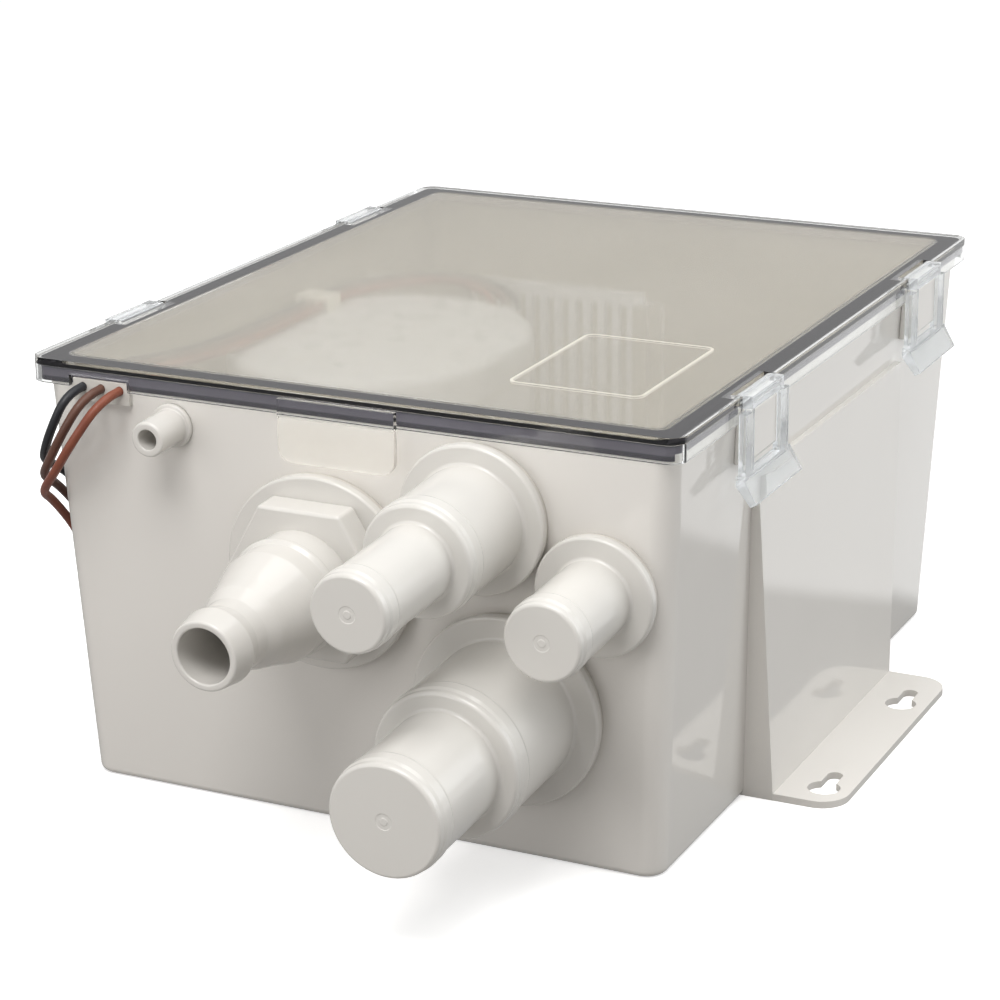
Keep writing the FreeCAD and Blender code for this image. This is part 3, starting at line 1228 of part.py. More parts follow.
def smooth_path(spots, bend=None):
    """Straight runs joined by tangent arcs; each arc is as large as its two runs allow, or the given bend."""
    edges = []
    radii = []
    start = spots[0]
    for before, corner, after in zip(spots, spots[1:], spots[2:]):
        back = before - corner
        ahead = after - corner
        half_turn = (math.pi - back.getAngle(ahead)) / 2
        reach = BEND_SHARE * min(back.Length, ahead.Length)
        if bend:
            reach = bend * math.tan(half_turn)
        radius = reach / math.tan(half_turn)
        first = corner + back.normalize() * reach
        last = corner + ahead.normalize() * reach
        inward = (back + ahead).normalize()
        middle = corner + inward * (radius / math.cos(half_turn) - radius)
        edges.append(Part.LineSegment(start, first).toShape())
        edges.append(Part.Arc(first, middle, last).toShape())
        radii.append(radius)
        start = last
    edges.append(Part.LineSegment(start, spots[-1]).toShape())
    return Part.Wire(edges), radii


def swept(path, radius):
    """A round bar along a path."""
    first = path.Edges[0]
    start = first.Curve.value(first.FirstParameter)
    heading = first.tangentAt(first.FirstParameter)
    profile = Part.Wire([Part.makeCircle(radius, start, heading)])
    return path.makePipeShell([profile], True, False)


def feature(name, shape):
    made = doc.addObject("Part::Feature", name)
    made.Shape = shape
    return made


# Riser hose from the volute's spout to the discharge's tail, with a clamp at each end

LEAN = math.atan(size("wall_lean") / size("tub_height"))
outlet_axis = Vector(0, -math.cos(LEAN), -math.sin(LEAN))
outlet_root = Vector(size("outlet_x"), -number(wall_y("outlet_z")), size("outlet_z"))
tail_end = outlet_root + outlet_axis * number(TAIL_END)
hose_end = tail_end + outlet_axis * size("hose_grip")
riser_top = outlet_root + outlet_axis * ((outlet_root.y - size("riser_high_y")) / math.cos(LEAN))
hose_start = Vector(number(SPOUT_X), size("spout_end_y") + size("hose_grip"), number(SPOUT_Z))
riser_foot = Vector(number(SPOUT_X), size("riser_low_y"), number(SPOUT_Z))
hose_path, hose_bends = smooth_path([hose_start, riser_foot, riser_top, hose_end], size("hose_bend"))
hose_inner = size("spout_radius") + size("hose_clearance")
hose_outer = hose_inner + size("hose_wall")
riser_hose = feature("riser_hose", swept(hose_path, hose_outer).cut(swept(hose_path, hose_inner)))


def hose_clamp(start, heading):
    """A band round the hose."""
    band = Part.makeCylinder(hose_outer + size("clamp_thick"), size("clamp_width"), start, heading)
    return band.cut(Part.makeCylinder(hose_outer, size("clamp_width"), start, heading))


clamp_inset = (size("hose_grip") - size("clamp_width")) / 2
hose_clamps = feature("hose_clamps", Part.makeCompound([
    hose_clamp(hose_start + Vector(0, -clamp_inset, 0), Vector(0, -1, 0)),
    hose_clamp(hose_end - outlet_axis * clamp_inset, outlet_axis * -1)]))

# Leads: three thin wires from the cap's gland, through the clip and the grommet, round the tub's
# left front corner, down its left side, over the left foot and into a stack of neat coils

HOLE_X = ["(grommet_x + %d * lead_pitch)" % index for index in (-1, 0, 1)]
ROUTE_INSIDE = [
    [(GLAND_X + " + gland_pitch", GLAND_Y, GLAND_Z), (GLAND_X + " + gland_pitch", 50.0, GLAND_Z),
     (-33.4, 56.4, 101.0), (-46.0, 57.4, 103.8), (-59.0, 51.6, 104.8), (-69.0, 41.0, 104.8),
     (-76.0, 29.6, 104.6), (-77.4, 16.0, 104.6), (-77.4, 2.0, 104.6), (-77.8, -22.0, 104.6),
     (-78.2, -48.0, 105.4), (-77.9, -72.0, 108.2), (-76.8, -88.0, 111.4), (HOLE_X[0], -99.0, LEAD_Z),
     (HOLE_X[0], GROMMET_OUT, LEAD_Z)],
    [(GLAND_X, GLAND_Y, GLAND_Z), (GLAND_X, 48.4, GLAND_Z),
     (-36.0, 53.2, 101.4), (-47.0, 53.8, 104.0), (-57.6, 48.2, 104.8), (-66.2, 38.4, 104.8),
     (-72.8, 28.4, 104.6), (-74.2, 16.0, 104.6), (-74.2, 2.0, 104.6), (-74.3, -22.0, 104.6),
     (-73.9, -48.0, 105.4), (-72.9, -72.0, 108.2), (-71.2, -88.0, 111.4), (HOLE_X[1], -99.0, LEAD_Z),
     (HOLE_X[1], GROMMET_OUT, LEAD_Z)],
    [(GLAND_X + " - gland_pitch", GLAND_Y, GLAND_Z), (GLAND_X + " - gland_pitch", 46.4, GLAND_Z),
     (-39.0, 49.8, 101.8), (-47.8, 50.2, 104.2), (-56.4, 44.8, 104.8), (-63.4, 35.8, 104.8),
     (-69.6, 27.0, 104.6), (-71.0, 16.0, 104.6), (-71.0, 2.0, 104.6), (-70.6, -22.0, 104.6),
     (-69.6, -48.0, 105.4), (-67.9, -72.0, 108.2), (-65.9, -88.0, 111.4), (HOLE_X[2], -99.0, LEAD_Z),
     (HOLE_X[2], GROMMET_OUT, LEAD_Z)],
]
ROUTE_OUTSIDE = {
    "black": [
        (HOLE_X[0], -120.4, LEAD_Z), (-79.8, -122.6, 103.6), (-84.8, -119.2, 96.0), (-90.6, -111.6, 90.2),
        (-92.2, -101.0, 84.8), (-91.0, -91.0, 74.6), (-89.7, -83.4, 58.6), (-89.0, -78.4, 41.6),
        (-88.6, -74.4, 24.6), (-89.2, -69.4, 9.4), (-91.6, -61.6, 2.4), (-95.4, -53.6, 4.6),
        (-98.4, -44.8, 6.9), (-99.6, -32.6, 4.9), (-99.9, -15.4, 3.5), (-99.4, 3.2, 3.6),
        (-98.4, 21.4, 3.5), (-97.2, 38.0, 3.9), (-94.8, 51.4, 3.4), (-91.4, 60.6, 2.4),
        (-90.2, 68.8, 2.1)],
    "brown": [
        (HOLE_X[1], -121.0, LEAD_Z), (-75.4, -124.8, 102.8), (-81.4, -122.6, 94.0), (-89.0, -115.0, 87.0),
        (-92.1, -104.0, 81.4), (-90.9, -94.4, 70.6), (-89.8, -87.0, 54.6), (-89.0, -82.2, 37.6),
        (-88.8, -78.4, 20.4), (-90.4, -72.8, 6.6), (-94.2, -65.4, 2.0), (-98.6, -57.4, 4.6),
        (-101.6, -47.6, 6.9), (-102.8, -34.4, 4.9), (-103.0, -16.8, 3.5), (-102.5, 2.4, 3.6),
        (-101.6, 20.8, 3.5), (-100.3, 38.0, 4.1), (-97.8, 52.0, 4.8), (-94.4, 61.2, 5.0),
        (-93.2, 69.4, 4.95)],
    "red": [
        (HOLE_X[2], -121.6, LEAD_Z), (-71.0, -126.6, 101.8), (-78.2, -125.4, 91.8), (-87.0, -118.4, 83.8),
        (-91.7, -107.2, 78.0), (-90.7, -97.8, 66.6), (-89.4, -90.6, 50.4), (-88.7, -86.0, 33.4),
        (-89.0, -82.0, 16.4), (-92.4, -76.0, 4.2), (-97.2, -68.4, 2.0), (-101.8, -60.0, 4.6),
        (-104.8, -49.8, 6.9), (-106.0, -36.0, 4.9), (-106.1, -18.2, 3.5), (-105.6, 1.4, 3.6),
        (-104.7, 20.2, 3.5), (-103.4, 38.2, 4.3), (-100.9, 52.4, 6.2), (-97.4, 61.6, 7.5),
        (-96.2, 70.0, 7.8)],
}
COIL_START_Y = 77.6
lead_radius = size("lead_radius")
coil_pitch = 2 * lead_radius + size("coil_gap")


def check_tube(name, shape, path, radii):
    """Print a tube's radii, its length and how near its volume is to section times length."""
    share = shape.Volume / (math.pi * lead_radius ** 2 * path.Length)
    print("%s: length %.1f, volume share %.4f, radii %s"
          % (name, path.Length, share, " ".join("%.1f" % radius for radius in radii)))


inside = []
for index, points in enumerate(ROUTE_INSIDE):
    path, radii = smooth_path(inside_spots(points))
    lead = swept(path, lead_radius)
    check_tube("inside lead %d" % index, lead, path, radii)
    inside.append(lead)
leads_inside = feature("leads_inside", Part.makeCompound(inside))


def coil_path(start, turns):
    """A flat spiral of half turns to the left, each tighter than the one before, with straight ends.

    The last half turn is drawn in a little more, so that its straight end clears the turn beside it.
    """
    ahead = Vector(0, 2 * lead_radius, 0)
    spot = start + ahead
    edges = [Part.LineSegment(start, spot).toShape()]
    side = -1
    radius = size("coil_outer")
    for index in range(turns):
        if index == turns - 1:
            radius -= size("coil_gap")
        far = spot + Vector(2 * side * radius, 0, 0)
        middle = spot + Vector(side * radius, -side * radius, 0)
        edges.append(Part.Arc(spot, middle, far).toShape())
        spot = far
        side = -side
        radius -= coil_pitch / 2
    edges.append(Part.LineSegment(spot, spot + ahead * -side).toShape())
    return Part.Wire(edges)


def least_gap(path):
    """The least distance of the tube's surface from itself, a third of a turn or more further on."""
    spots = path.discretize(Distance=1.0)
    apart = int(size("coil_outer"))
    return min(first.distanceToPoint(second) for index, first in enumerate(spots)
               for second in spots[index + apart:]) - 2 * lead_radius


lead_nodes = {"leads_inside": leads_inside}
coil_starts = []
for index, (colour, points) in enumerate(ROUTE_OUTSIDE.items()):
    exit_spot = (HOLE_X[index], GROMMET_OUT, LEAD_Z)
    coil_spot = (points[-1][0], COIL_START_Y, points[-1][2])
    spots = outside_spots([exit_spot] + points + [coil_spot])
    path, radii = smooth_path(spots)
    lead = swept(path, lead_radius)
    check_tube("lead_" + colour, lead, path, radii)
    lead_nodes["lead_" + colour] = feature("lead_" + colour, lead)
    coil_starts.append(spots[-1])
    turns = coil_path(spots[-1], 7)
    coil = swept(turns, lead_radius)
    check_tube("coil_" + colour, coil, turns, [edge.Curve.Radius for edge in turns.Edges[1:-1]])
    print("coil_%s: least gap to itself %.2f" % (colour, least_gap(turns)))
    lead_nodes["coil_" + colour] = feature("coil_" + colour, coil)

# Tie: a flat band round the coils, over their four runs on the side away from the tub's front

tie_room = lead_radius + size("tie_clearance")
band = size("tie_thick")
tie_x = coil_starts[1].x - size("coil_outer")
tie_front = coil_starts[1].y + size("tie_front")
tie_length = 2 * lead_radius + size("coil_outer") + tie_room - size("tie_front")
tie_low = coil_starts[0].z - tie_room
tie_high = coil_starts[-1].z + tie_room


def tie_block(wall, width):
    """The tie's inside, grown by a wall in y and z."""
    return Part.makeBox(width, tie_length + 2 * wall, tie_high - tie_low + 2 * wall,
                        Vector(tie_x - width / 2, tie_front - wall, tie_low - wall))


coil_tie = feature("coil_tie", tie_block(band, size("tie_width")).cut(tie_block(0, 2 * size("tie_width"))))

# Clip on the pump's cap, which holds the three leads down

CLIP_X = "(pump_x + clip_shift_x)"
CLIP_REAR = "(pump_y + clip_shift_y - clip_length)"
clip_blank = box("clip_blank", CLIP_X + " - clip_width / 2", CLIP_REAR + " + clip_length / 2", CAP_TOP,
                 "clip_width", "clip_length", "clip_height")
clip_holes = []
for index in (-1, 0, 1):
    across = "(%s + %d * clip_pitch)" % (CLIP_X, index)
    clip_holes.append(cylinder("clip_arch_%d" % index, ALONG_Y, across, CLIP_REAR, CAP_TOP + " + clip_rise",
                               "clip_hole", "2 * clip_length"))
    clip_holes.append(box("clip_gap_%d" % index, across + " - clip_hole", CLIP_REAR, CAP_TOP + " - 1",
                          "2 * clip_hole", "2 * clip_length", "clip_rise + 1"))
wire_clip = cut("wire_clip", clip_blank, *clip_holes)

nodes = {"tub": tub, "foot_right": foot_right, "foot_left": foot_left, "latch_lugs": latch_lugs,
         "coil_tie": coil_tie, "lid": lid, "lid_gasket": lid_gasket, "filter_screen": filter_screen,
         "wire_grommet": wire_grommet, "wire_clip": wire_clip, "strainer_base": strainer_base,
         "base_screws": base_screws, "pump_shell": pump_shell, "pump_cap": pump_cap, "cap_seal": cap_seal,
         "volute": volute, "impeller": impeller, "shaft_seal": shaft_seal, "motor_shaft": motor_shaft,
         "motor_can": motor_can, "magnets": magnets, "armature": armature, "commutator": commutator,
         "motor_bushes": motor_bushes, "motor_brushes": motor_brushes, "motor_end_cap": motor_end_cap,
         "float_tube": float_tube, "float_stop": float_stop, "level_float": level_float,
         "float_magnet": float_magnet,
         "level_switch": level_switch, "riser_hose": riser_hose, "hose_clamps": hose_clamps}
nodes.update(latches)
nodes.update(fittings)
nodes.update(lead_nodes)

doc.recompute()
for thing in doc.Objects:
    if "Invalid" in thing.State or "Error" in thing.State:
        raise RuntimeError("%s did not build" % thing.Name)
for name, thing in nodes.items():
    thing.Label = name
    if thing.Shape.isNull() or not thing.Shape.isValid() or not thing.Shape.Solids:
        raise RuntimeError("%s has no sound shape" % name)

os.makedirs("parts", exist_ok=True)
for name, thing in nodes.items():
    thing.Shape.exportStep("parts/%s.step" % name)
print("%d nodes written" % len(nodes))
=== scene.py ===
import json
import math

import bmesh
import bpy
from mathutils import Matrix, Vector

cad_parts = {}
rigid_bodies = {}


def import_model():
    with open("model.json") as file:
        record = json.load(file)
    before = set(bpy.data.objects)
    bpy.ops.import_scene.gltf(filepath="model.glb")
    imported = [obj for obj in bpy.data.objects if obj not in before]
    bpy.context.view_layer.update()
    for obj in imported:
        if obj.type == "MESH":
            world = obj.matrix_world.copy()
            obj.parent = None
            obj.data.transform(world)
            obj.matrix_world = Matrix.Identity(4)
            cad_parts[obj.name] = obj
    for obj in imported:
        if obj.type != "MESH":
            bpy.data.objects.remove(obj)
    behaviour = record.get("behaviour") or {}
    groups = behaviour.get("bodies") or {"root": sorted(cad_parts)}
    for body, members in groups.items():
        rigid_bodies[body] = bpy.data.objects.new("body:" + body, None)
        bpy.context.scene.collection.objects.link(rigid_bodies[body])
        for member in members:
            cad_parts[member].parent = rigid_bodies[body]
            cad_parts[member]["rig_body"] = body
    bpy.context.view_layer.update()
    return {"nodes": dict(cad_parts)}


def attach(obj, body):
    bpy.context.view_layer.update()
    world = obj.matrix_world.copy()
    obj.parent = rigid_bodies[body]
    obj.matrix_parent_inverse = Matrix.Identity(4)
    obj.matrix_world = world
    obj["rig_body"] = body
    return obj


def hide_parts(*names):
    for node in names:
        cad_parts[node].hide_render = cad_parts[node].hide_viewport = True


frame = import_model()

# Camera: the photograph's viewpoint, worked out from the tub's edges and the round fittings. It
# stands low in front and to the right, about 0.84 m away, with a long lens.

view_azimuth, view_height, view_roll = map(math.radians, (25.85, 18.32, -0.57))
view_place = (0.3376, -0.7191, 0.3206)
focal_length, film_width = 104.68, 36.0
nearest_seen, farthest_seen = 0.05, 30.0


def placed(name, data):
    """An object in the scene, at the origin."""
    thing = bpy.data.objects.new(name, data)
    bpy.context.scene.collection.objects.link(thing)
    return thing


ahead = Vector((-math.sin(view_azimuth) * math.cos(view_height),
                math.cos(view_azimuth) * math.cos(view_height), -math.sin(view_height)))
level_right = ahead.cross(Vector((0, 0, 1))).normalized()
level_up = level_right.cross(ahead)
camera_right = level_right * math.cos(view_roll) + level_up * math.sin(view_roll)
camera_up = level_up * math.cos(view_roll) - level_right * math.sin(view_roll)
lens = bpy.data.cameras.new("photograph_lens")
lens.lens, lens.sensor_width = focal_length, film_width
lens.clip_start, lens.clip_end = nearest_seen, farthest_seen
camera = placed("photograph_camera", lens)
turned = Matrix((camera_right, camera_up, -ahead)).transposed().to_4x4()
camera.matrix_world = Matrix.Translation(view_place) @ turned
bpy.context.scene.camera = camera

# Leads: three limp wires, black, brown and red-brown, in soft PVC. They leave the grommet, fall round
# the tub's front left corner, run back along its foot and end in three flat coils beside the tub.

lead_diameter = 0.0024


def srgb(red, green, blue):
    """A colour as a picture gives it, turned into the light values that shaders take."""
    return tuple(v / 12.92 if v <= 0.04045 else ((v + 0.055) / 1.055) ** 2.4
                 for v in (red / 255, green / 255, blue / 255)) + (1.0,)


def fill(made, *given, **named):
    """Fills a node's inputs and settings, by place or by name in small letters, the first of a name.
    Another node or a socket is linked to an input, and so is each of a list; other values are set."""
    inputs = {socket.name.replace(" ", "_").lower(): socket for socket in reversed(list(made.inputs))}
    for key, value in (*enumerate(given), *named.items()):
        socket = made.inputs[key] if isinstance(key, int) else inputs.get(key)
        if socket is None:
            setattr(made, key, value)
            continue
        for source in value if isinstance(value, list) else [value]:
            if isinstance(source, bpy.types.Node):
                source = source.outputs[0]
            if isinstance(source, bpy.types.NodeSocket):
                made.id_data.links.new(source, socket)
            else:
                socket.default_value = source
    return made


def node_maker(tree):
    """Makes and fills further nodes of a tree."""
    return lambda kind, *given, **named: fill(tree.nodes.new(kind), *given, **named)


def new_material(name):
    """A material, its shader and the maker of its further nodes."""
    material = bpy.data.materials.new(name)
    material.use_nodes = True
    return material, material.node_tree.nodes["Principled BSDF"], node_maker(material.node_tree)


def on_piece(node):
    """Where the shaded spot is on its piece."""
    return node("ShaderNodeTexCoord").outputs["Object"]


def unevenness(node, scale, detail):
    """Noise that is fixed to the piece."""
    return node("ShaderNodeTexNoise", vector=on_piece(node), scale=scale, detail=detail)


def mottled(node, scale, low, high):
    """A colour or a value that wanders between two limits over the piece."""
    noise = unevenness(node, scale, 3.0)
    if not isinstance(low, tuple):
        return node("ShaderNodeMapRange", value=noise, from_min=0.3, from_max=0.7, to_min=low, to_max=high)
    ramp = node("ShaderNodeValToRGB", fac=noise)
    for stop, place, colour in zip(ramp.color_ramp.elements, (0.32, 0.68), (low, high)):
        stop.position, stop.color = place, colour
    return ramp


def skin(node, scale, strength, reach, detail=4.0):
    """A fine unevenness of the surface, as tall as its reach."""
    return node("ShaderNodeBump", height=unevenness(node, scale, detail), strength=strength, distance=reach)


def finish(name, colours, roughness, bumps, **constants):
    """A material with mottled colour and gloss and a fine skin: its scale comes first in each."""
    material, shader, node = new_material(name)
    if colours:
        fill(shader, base_color=mottled(node, *colours))
    fill(shader, roughness=mottled(node, *roughness), normal=skin(node, *bumps), **constants)
    return material, shader, node


def insulation(name, light, dark):
    """Soft drawn PVC: a dull gloss with faint scuffs."""
    return finish(name, (90.0, dark, light), (700.0, 0.36, 0.52), (2600.0, 0.18, 0.00006),
                  specular_ior_level=0.45)[0]


def carried(piece, body, slot, *nodes):
    """Says which body a piece rides on and the CAD nodes that it stands for. Its slot is not used."""
    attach(piece, body)
    if nodes:
        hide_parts(*nodes)
    return piece


def lead_curve(name, points, material):
    """A round wire that follows a smooth line through its route."""
    line = bpy.data.curves.new(name, "CURVE")
    line.dimensions = "3D"
    run = line.splines.new("NURBS")
    run.points.add(len(points) - 1)
    for spot, point in zip(run.points, points):
        spot.co = (*point, 1.0)
    run.order_u = 3
    run.use_endpoint_u = True
    run.resolution_u = 5
    line.bevel_depth = lead_diameter / 2
    line.bevel_resolution = 5
    line.use_fill_caps = True
    line.materials.append(material)
    return placed(name, line)


def coil_turns(start, half_turns=7, widest=0.0176, step=0.001425, last_step=0.00045, steps=8):
    """The route's points in a flat coil: half turns to the left, each tighter than the one before."""
    spots = []
    edge, side, radius = Vector(start), -1, widest
    for index in range(half_turns):
        if index == half_turns - 1:
            radius -= last_step
        middle = edge + Vector((side * radius, 0, 0))
        outer = -side * radius / math.cos(math.pi / steps / 2)
        for number in range(steps):
            turn = math.pi * (number + 0.5) / steps
            spots.append(middle + Vector((outer * math.cos(turn), outer * math.sin(turn), 0)))
        edge = edge + Vector((2 * side * radius, 0, 0))
        side = -side
        radius -= step
    spots.append(edge - Vector((0, lead_diameter, 0)))
    return spots


insulation_colours = {
    "black": insulation("lead_black_pvc", srgb(44, 45, 50), srgb(30, 31, 35)),
    "brown": insulation("lead_brown_pvc", srgb(104, 70, 56), srgb(84, 54, 43)),
    "red": insulation("lead_red_pvc", srgb(138, 76, 54), srgb(114, 60, 44)),
}
outside_routes = {
    "black": [
        (-0.0761, -0.1129, 0.1124), (-0.0761, -0.1204, 0.1124), (-0.0798, -0.1226, 0.1036),
        (-0.0848, -0.1192, 0.0960), (-0.0906, -0.1116, 0.0902), (-0.0922, -0.1010, 0.0848),
        (-0.0910, -0.0910, 0.0746), (-0.0897, -0.0834, 0.0586), (-0.0890, -0.0784, 0.0416),
        (-0.0886, -0.0744, 0.0246), (-0.0892, -0.0694, 0.0094), (-0.0916, -0.0616, 0.0024),
        (-0.0954, -0.0536, 0.0046), (-0.0984, -0.0448, 0.0069), (-0.0996, -0.0326, 0.0049),
        (-0.0999, -0.0154, 0.0035), (-0.0994, 0.0032, 0.0036), (-0.0984, 0.0214, 0.0035),
        (-0.0972, 0.0380, 0.0039), (-0.0948, 0.0514, 0.0034), (-0.0914, 0.0606, 0.0024),
        (-0.0902, 0.0688, 0.0021)],
    "brown": [
        (-0.0705, -0.1129, 0.1124), (-0.0705, -0.1210, 0.1124), (-0.0754, -0.1248, 0.1028),
        (-0.0814, -0.1226, 0.0940), (-0.0890, -0.1150, 0.0870), (-0.0921, -0.1040, 0.0814),
        (-0.0909, -0.0944, 0.0706), (-0.0898, -0.0870, 0.0546), (-0.0890, -0.0822, 0.0376),
        (-0.0888, -0.0784, 0.0204), (-0.0904, -0.0728, 0.0066), (-0.0942, -0.0654, 0.0020),
        (-0.0986, -0.0574, 0.0046), (-0.1016, -0.0476, 0.0069), (-0.1028, -0.0344, 0.0049),
        (-0.1030, -0.0168, 0.0035), (-0.1025, 0.0024, 0.0036), (-0.1016, 0.0208, 0.0035),
        (-0.1003, 0.0380, 0.0041), (-0.0978, 0.0520, 0.0048), (-0.0944, 0.0612, 0.0050),
        (-0.0932, 0.0694, 0.00495)],
    "red": [
        (-0.0649, -0.1129, 0.1124), (-0.0649, -0.1216, 0.1124), (-0.0710, -0.1266, 0.1018),
        (-0.0782, -0.1254, 0.0918), (-0.0870, -0.1184, 0.0838), (-0.0917, -0.1072, 0.0780),
        (-0.0907, -0.0978, 0.0666), (-0.0894, -0.0906, 0.0504), (-0.0887, -0.0860, 0.0334),
        (-0.0890, -0.0820, 0.0164), (-0.0924, -0.0760, 0.0042), (-0.0972, -0.0684, 0.0020),
        (-0.1018, -0.0600, 0.0046), (-0.1048, -0.0498, 0.0069), (-0.1060, -0.0360, 0.0049),
        (-0.1061, -0.0182, 0.0035), (-0.1056, 0.0014, 0.0036), (-0.1047, 0.0202, 0.0035),
        (-0.1034, 0.0382, 0.0043), (-0.1009, 0.0524, 0.0062), (-0.0974, 0.0616, 0.0075),
        (-0.0962, 0.0700, 0.0078)],
}
inside_routes = {
    "black": [
        (-0.0276, 0.0410, 0.0980), (-0.0276, 0.0500, 0.0980), (-0.0334, 0.0564, 0.1010),
        (-0.0460, 0.0574, 0.1038), (-0.0590, 0.0516, 0.1048), (-0.0690, 0.0410, 0.1048),
        (-0.0760, 0.0296, 0.1046), (-0.0774, 0.0160, 0.1046), (-0.0774, 0.0020, 0.1046),
        (-0.0778, -0.0220, 0.1046), (-0.0782, -0.0480, 0.1054), (-0.0779, -0.0720, 0.1082),
        (-0.0768, -0.0880, 0.1114), (-0.0761, -0.0990, 0.1124), (-0.0761, -0.1129, 0.1124)],
    "brown": [
        (-0.0310, 0.0410, 0.0980), (-0.0310, 0.0484, 0.0980), (-0.0360, 0.0532, 0.1014),
        (-0.0470, 0.0538, 0.1040), (-0.0576, 0.0482, 0.1048), (-0.0662, 0.0384, 0.1048),
        (-0.0728, 0.0284, 0.1046), (-0.0742, 0.0160, 0.1046), (-0.0742, 0.0020, 0.1046),
        (-0.0743, -0.0220, 0.1046), (-0.0739, -0.0480, 0.1054), (-0.0729, -0.0720, 0.1082),
        (-0.0712, -0.0880, 0.1114), (-0.0705, -0.0990, 0.1124), (-0.0705, -0.1129, 0.1124)],
    "red": [
        (-0.0344, 0.0410, 0.0980), (-0.0344, 0.0464, 0.0980), (-0.0390, 0.0498, 0.1018),
        (-0.0478, 0.0502, 0.1042), (-0.0564, 0.0448, 0.1048), (-0.0634, 0.0358, 0.1048),
        (-0.0696, 0.0270, 0.1046), (-0.0710, 0.0160, 0.1046), (-0.0710, 0.0020, 0.1046),
        (-0.0706, -0.0220, 0.1046), (-0.0696, -0.0480, 0.1054), (-0.0679, -0.0720, 0.1082),
        (-0.0659, -0.0880, 0.1114), (-0.0649, -0.0990, 0.1124), (-0.0649, -0.1129, 0.1124)],
}
coil_starts = {"black": (-0.0902, 0.0800, 0.0021), "brown": (-0.0932, 0.0800, 0.00495),
               "red": (-0.0962, 0.0800, 0.0078)}


def shape_tree(name, shape, **sizes):
    """A Geometry Nodes tree with an input for each size. What `shape` makes of them ends as real mesh."""
    kinds = {int: "NodeSocketInt", float: "NodeSocketFloat", tuple: "NodeSocketVector"}
    tree = bpy.data.node_groups.new(name, "GeometryNodeTree")
    sockets = tree.interface
    sockets.new_socket("Geometry", in_out="OUTPUT", socket_type="NodeSocketGeometry")
    for label, value in sizes.items():
        sockets.new_socket(label, in_out="INPUT", socket_type=kinds[type(value)]).default_value = value
    sockets.new_socket("material", in_out="INPUT", socket_type="NodeSocketMaterial")
    node = node_maker(tree)
    given = node("NodeGroupInput").outputs
    made = shape(node, **{label: given[label] for label in sizes})
    real = node("GeometryNodeRealizeInstances", geometry=made)
    painted = node("GeometryNodeSetMaterial", geometry=real, material=given["material"])
    node("NodeGroupOutput", geometry=painted)
    return tree


def grown(name, tree, placing, body, slot, **sizes):
    """A piece that a Geometry Nodes tree makes, turned into its plain mesh and put in its place."""
    piece = placed(name, bpy.data.meshes.new(name))
    maker = piece.modifiers.new("maker", "NODES")
    maker.node_group = tree
    for item in tree.interface.items_tree:
        if item.in_out == "INPUT":
            maker[item.identifier] = sizes.get(item.name, item.default_value)
    graph = bpy.context.evaluated_depsgraph_get()
    graph.update()
    mesh = bpy.data.meshes.new_from_object(piece.evaluated_get(graph))
    piece.modifiers.clear()
    piece.data = mesh
    mesh.transform(placing)
    mesh.shade_smooth()
    return carried(piece, body, slot)


def sum_of(node, kind, *values):
    """One step of a calculation in a tree."""
    return node("ShaderNodeMath", *values, operation=kind)


def set_round(node, spots, piece, count, tilt=0.0):
    """Like pieces round the z axis, each turned on by its share of a full turn."""
    share = sum_of(node, "DIVIDE", node("GeometryNodeInputIndex"), count)
    heading = node("ShaderNodeCombineXYZ", x=tilt, z=sum_of(node, "MULTIPLY", share, 2 * math.pi))
    return node("GeometryNodeInstanceOnPoints", points=spots, instance=piece, rotation=heading)


def twisted_strands(node, length, strand_radius, lay_radius, twist, strands):
    """Strands twisted round one more, as long as the bared end of a lead."""
    line = node("GeometryNodeCurvePrimitiveLine", end=node("ShaderNodeCombineXYZ", z=length))
    middle = node("GeometryNodeResampleCurve", curve=line, count=12)
    turn = sum_of(node, "MULTIPLY", node("GeometryNodeSplineParameter"), twist)
    offset = node("ShaderNodeCombineXYZ",
                  x=sum_of(node, "MULTIPLY", sum_of(node, "COSINE", turn), lay_radius),
                  y=sum_of(node, "MULTIPLY", sum_of(node, "SINE", turn), lay_radius))
    bent = node("GeometryNodeSetPosition", geometry=middle, offset=offset)
    section = node("GeometryNodeCurvePrimitiveCircle", resolution=10, radius=strand_radius)
    strand = node("GeometryNodeCurveToMesh", curve=bent, profile_curve=section, fill_caps=True)
    spots = node("GeometryNodeMeshLine", count=strands, offset=(0, 0, 0))
    core = node("GeometryNodeCurveToMesh", curve=middle, profile_curve=section, fill_caps=True)
    return node("GeometryNodeJoinGeometry", geometry=[set_round(node, spots, strand, strands), core])


bare_metal = finish("tinned_strands", (900.0, srgb(196, 190, 180), srgb(222, 218, 210)),
                    (2200.0, 0.22, 0.38), (5200.0, 0.15, 0.00004), metallic=1.0)[0]
bared_end = shape_tree("bared_end", twisted_strands, length=0.0034, strand_radius=0.00026,
                       lay_radius=0.00054, twist=1.1, strands=6)
for colour, route in outside_routes.items():
    slot = "lead_" + colour
    points = [Vector(point) for point in route] + coil_turns(coil_starts[colour])
    lead = carried(lead_curve(slot + "_wire", points, insulation_colours[colour]), "root", slot,
                   slot, "coil_" + colour)
    end_place = Matrix.Translation(points[-1]) @ Matrix.Rotation(math.radians(90), 4, "X")
    strands = grown(slot + "_bared_end", bared_end, end_place, "root", slot, material=bare_metal)
    inner = carried(lead_curve(slot + "_inside", inside_routes[colour], insulation_colours[colour]),
                    "root", slot)
    if colour == "black":
        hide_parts("leads_inside")

# Floor and lights: a white studio table that runs out to the horizon, and four soft boxes. The
# camera sees a white room. The glossy walls mirror a table that is grey near the sump, a painted
# shadow of the sump, and brighter behind it.

table_reach = 8.0
mirrored_painted_shadow, mirror_white = 0.34, 1.15
mirrored_painted_shadow_until, mirror_white_from = 0.104, 0.124
room_seen, room_mirrored, room_light = 1.0, 0.55, 0.42

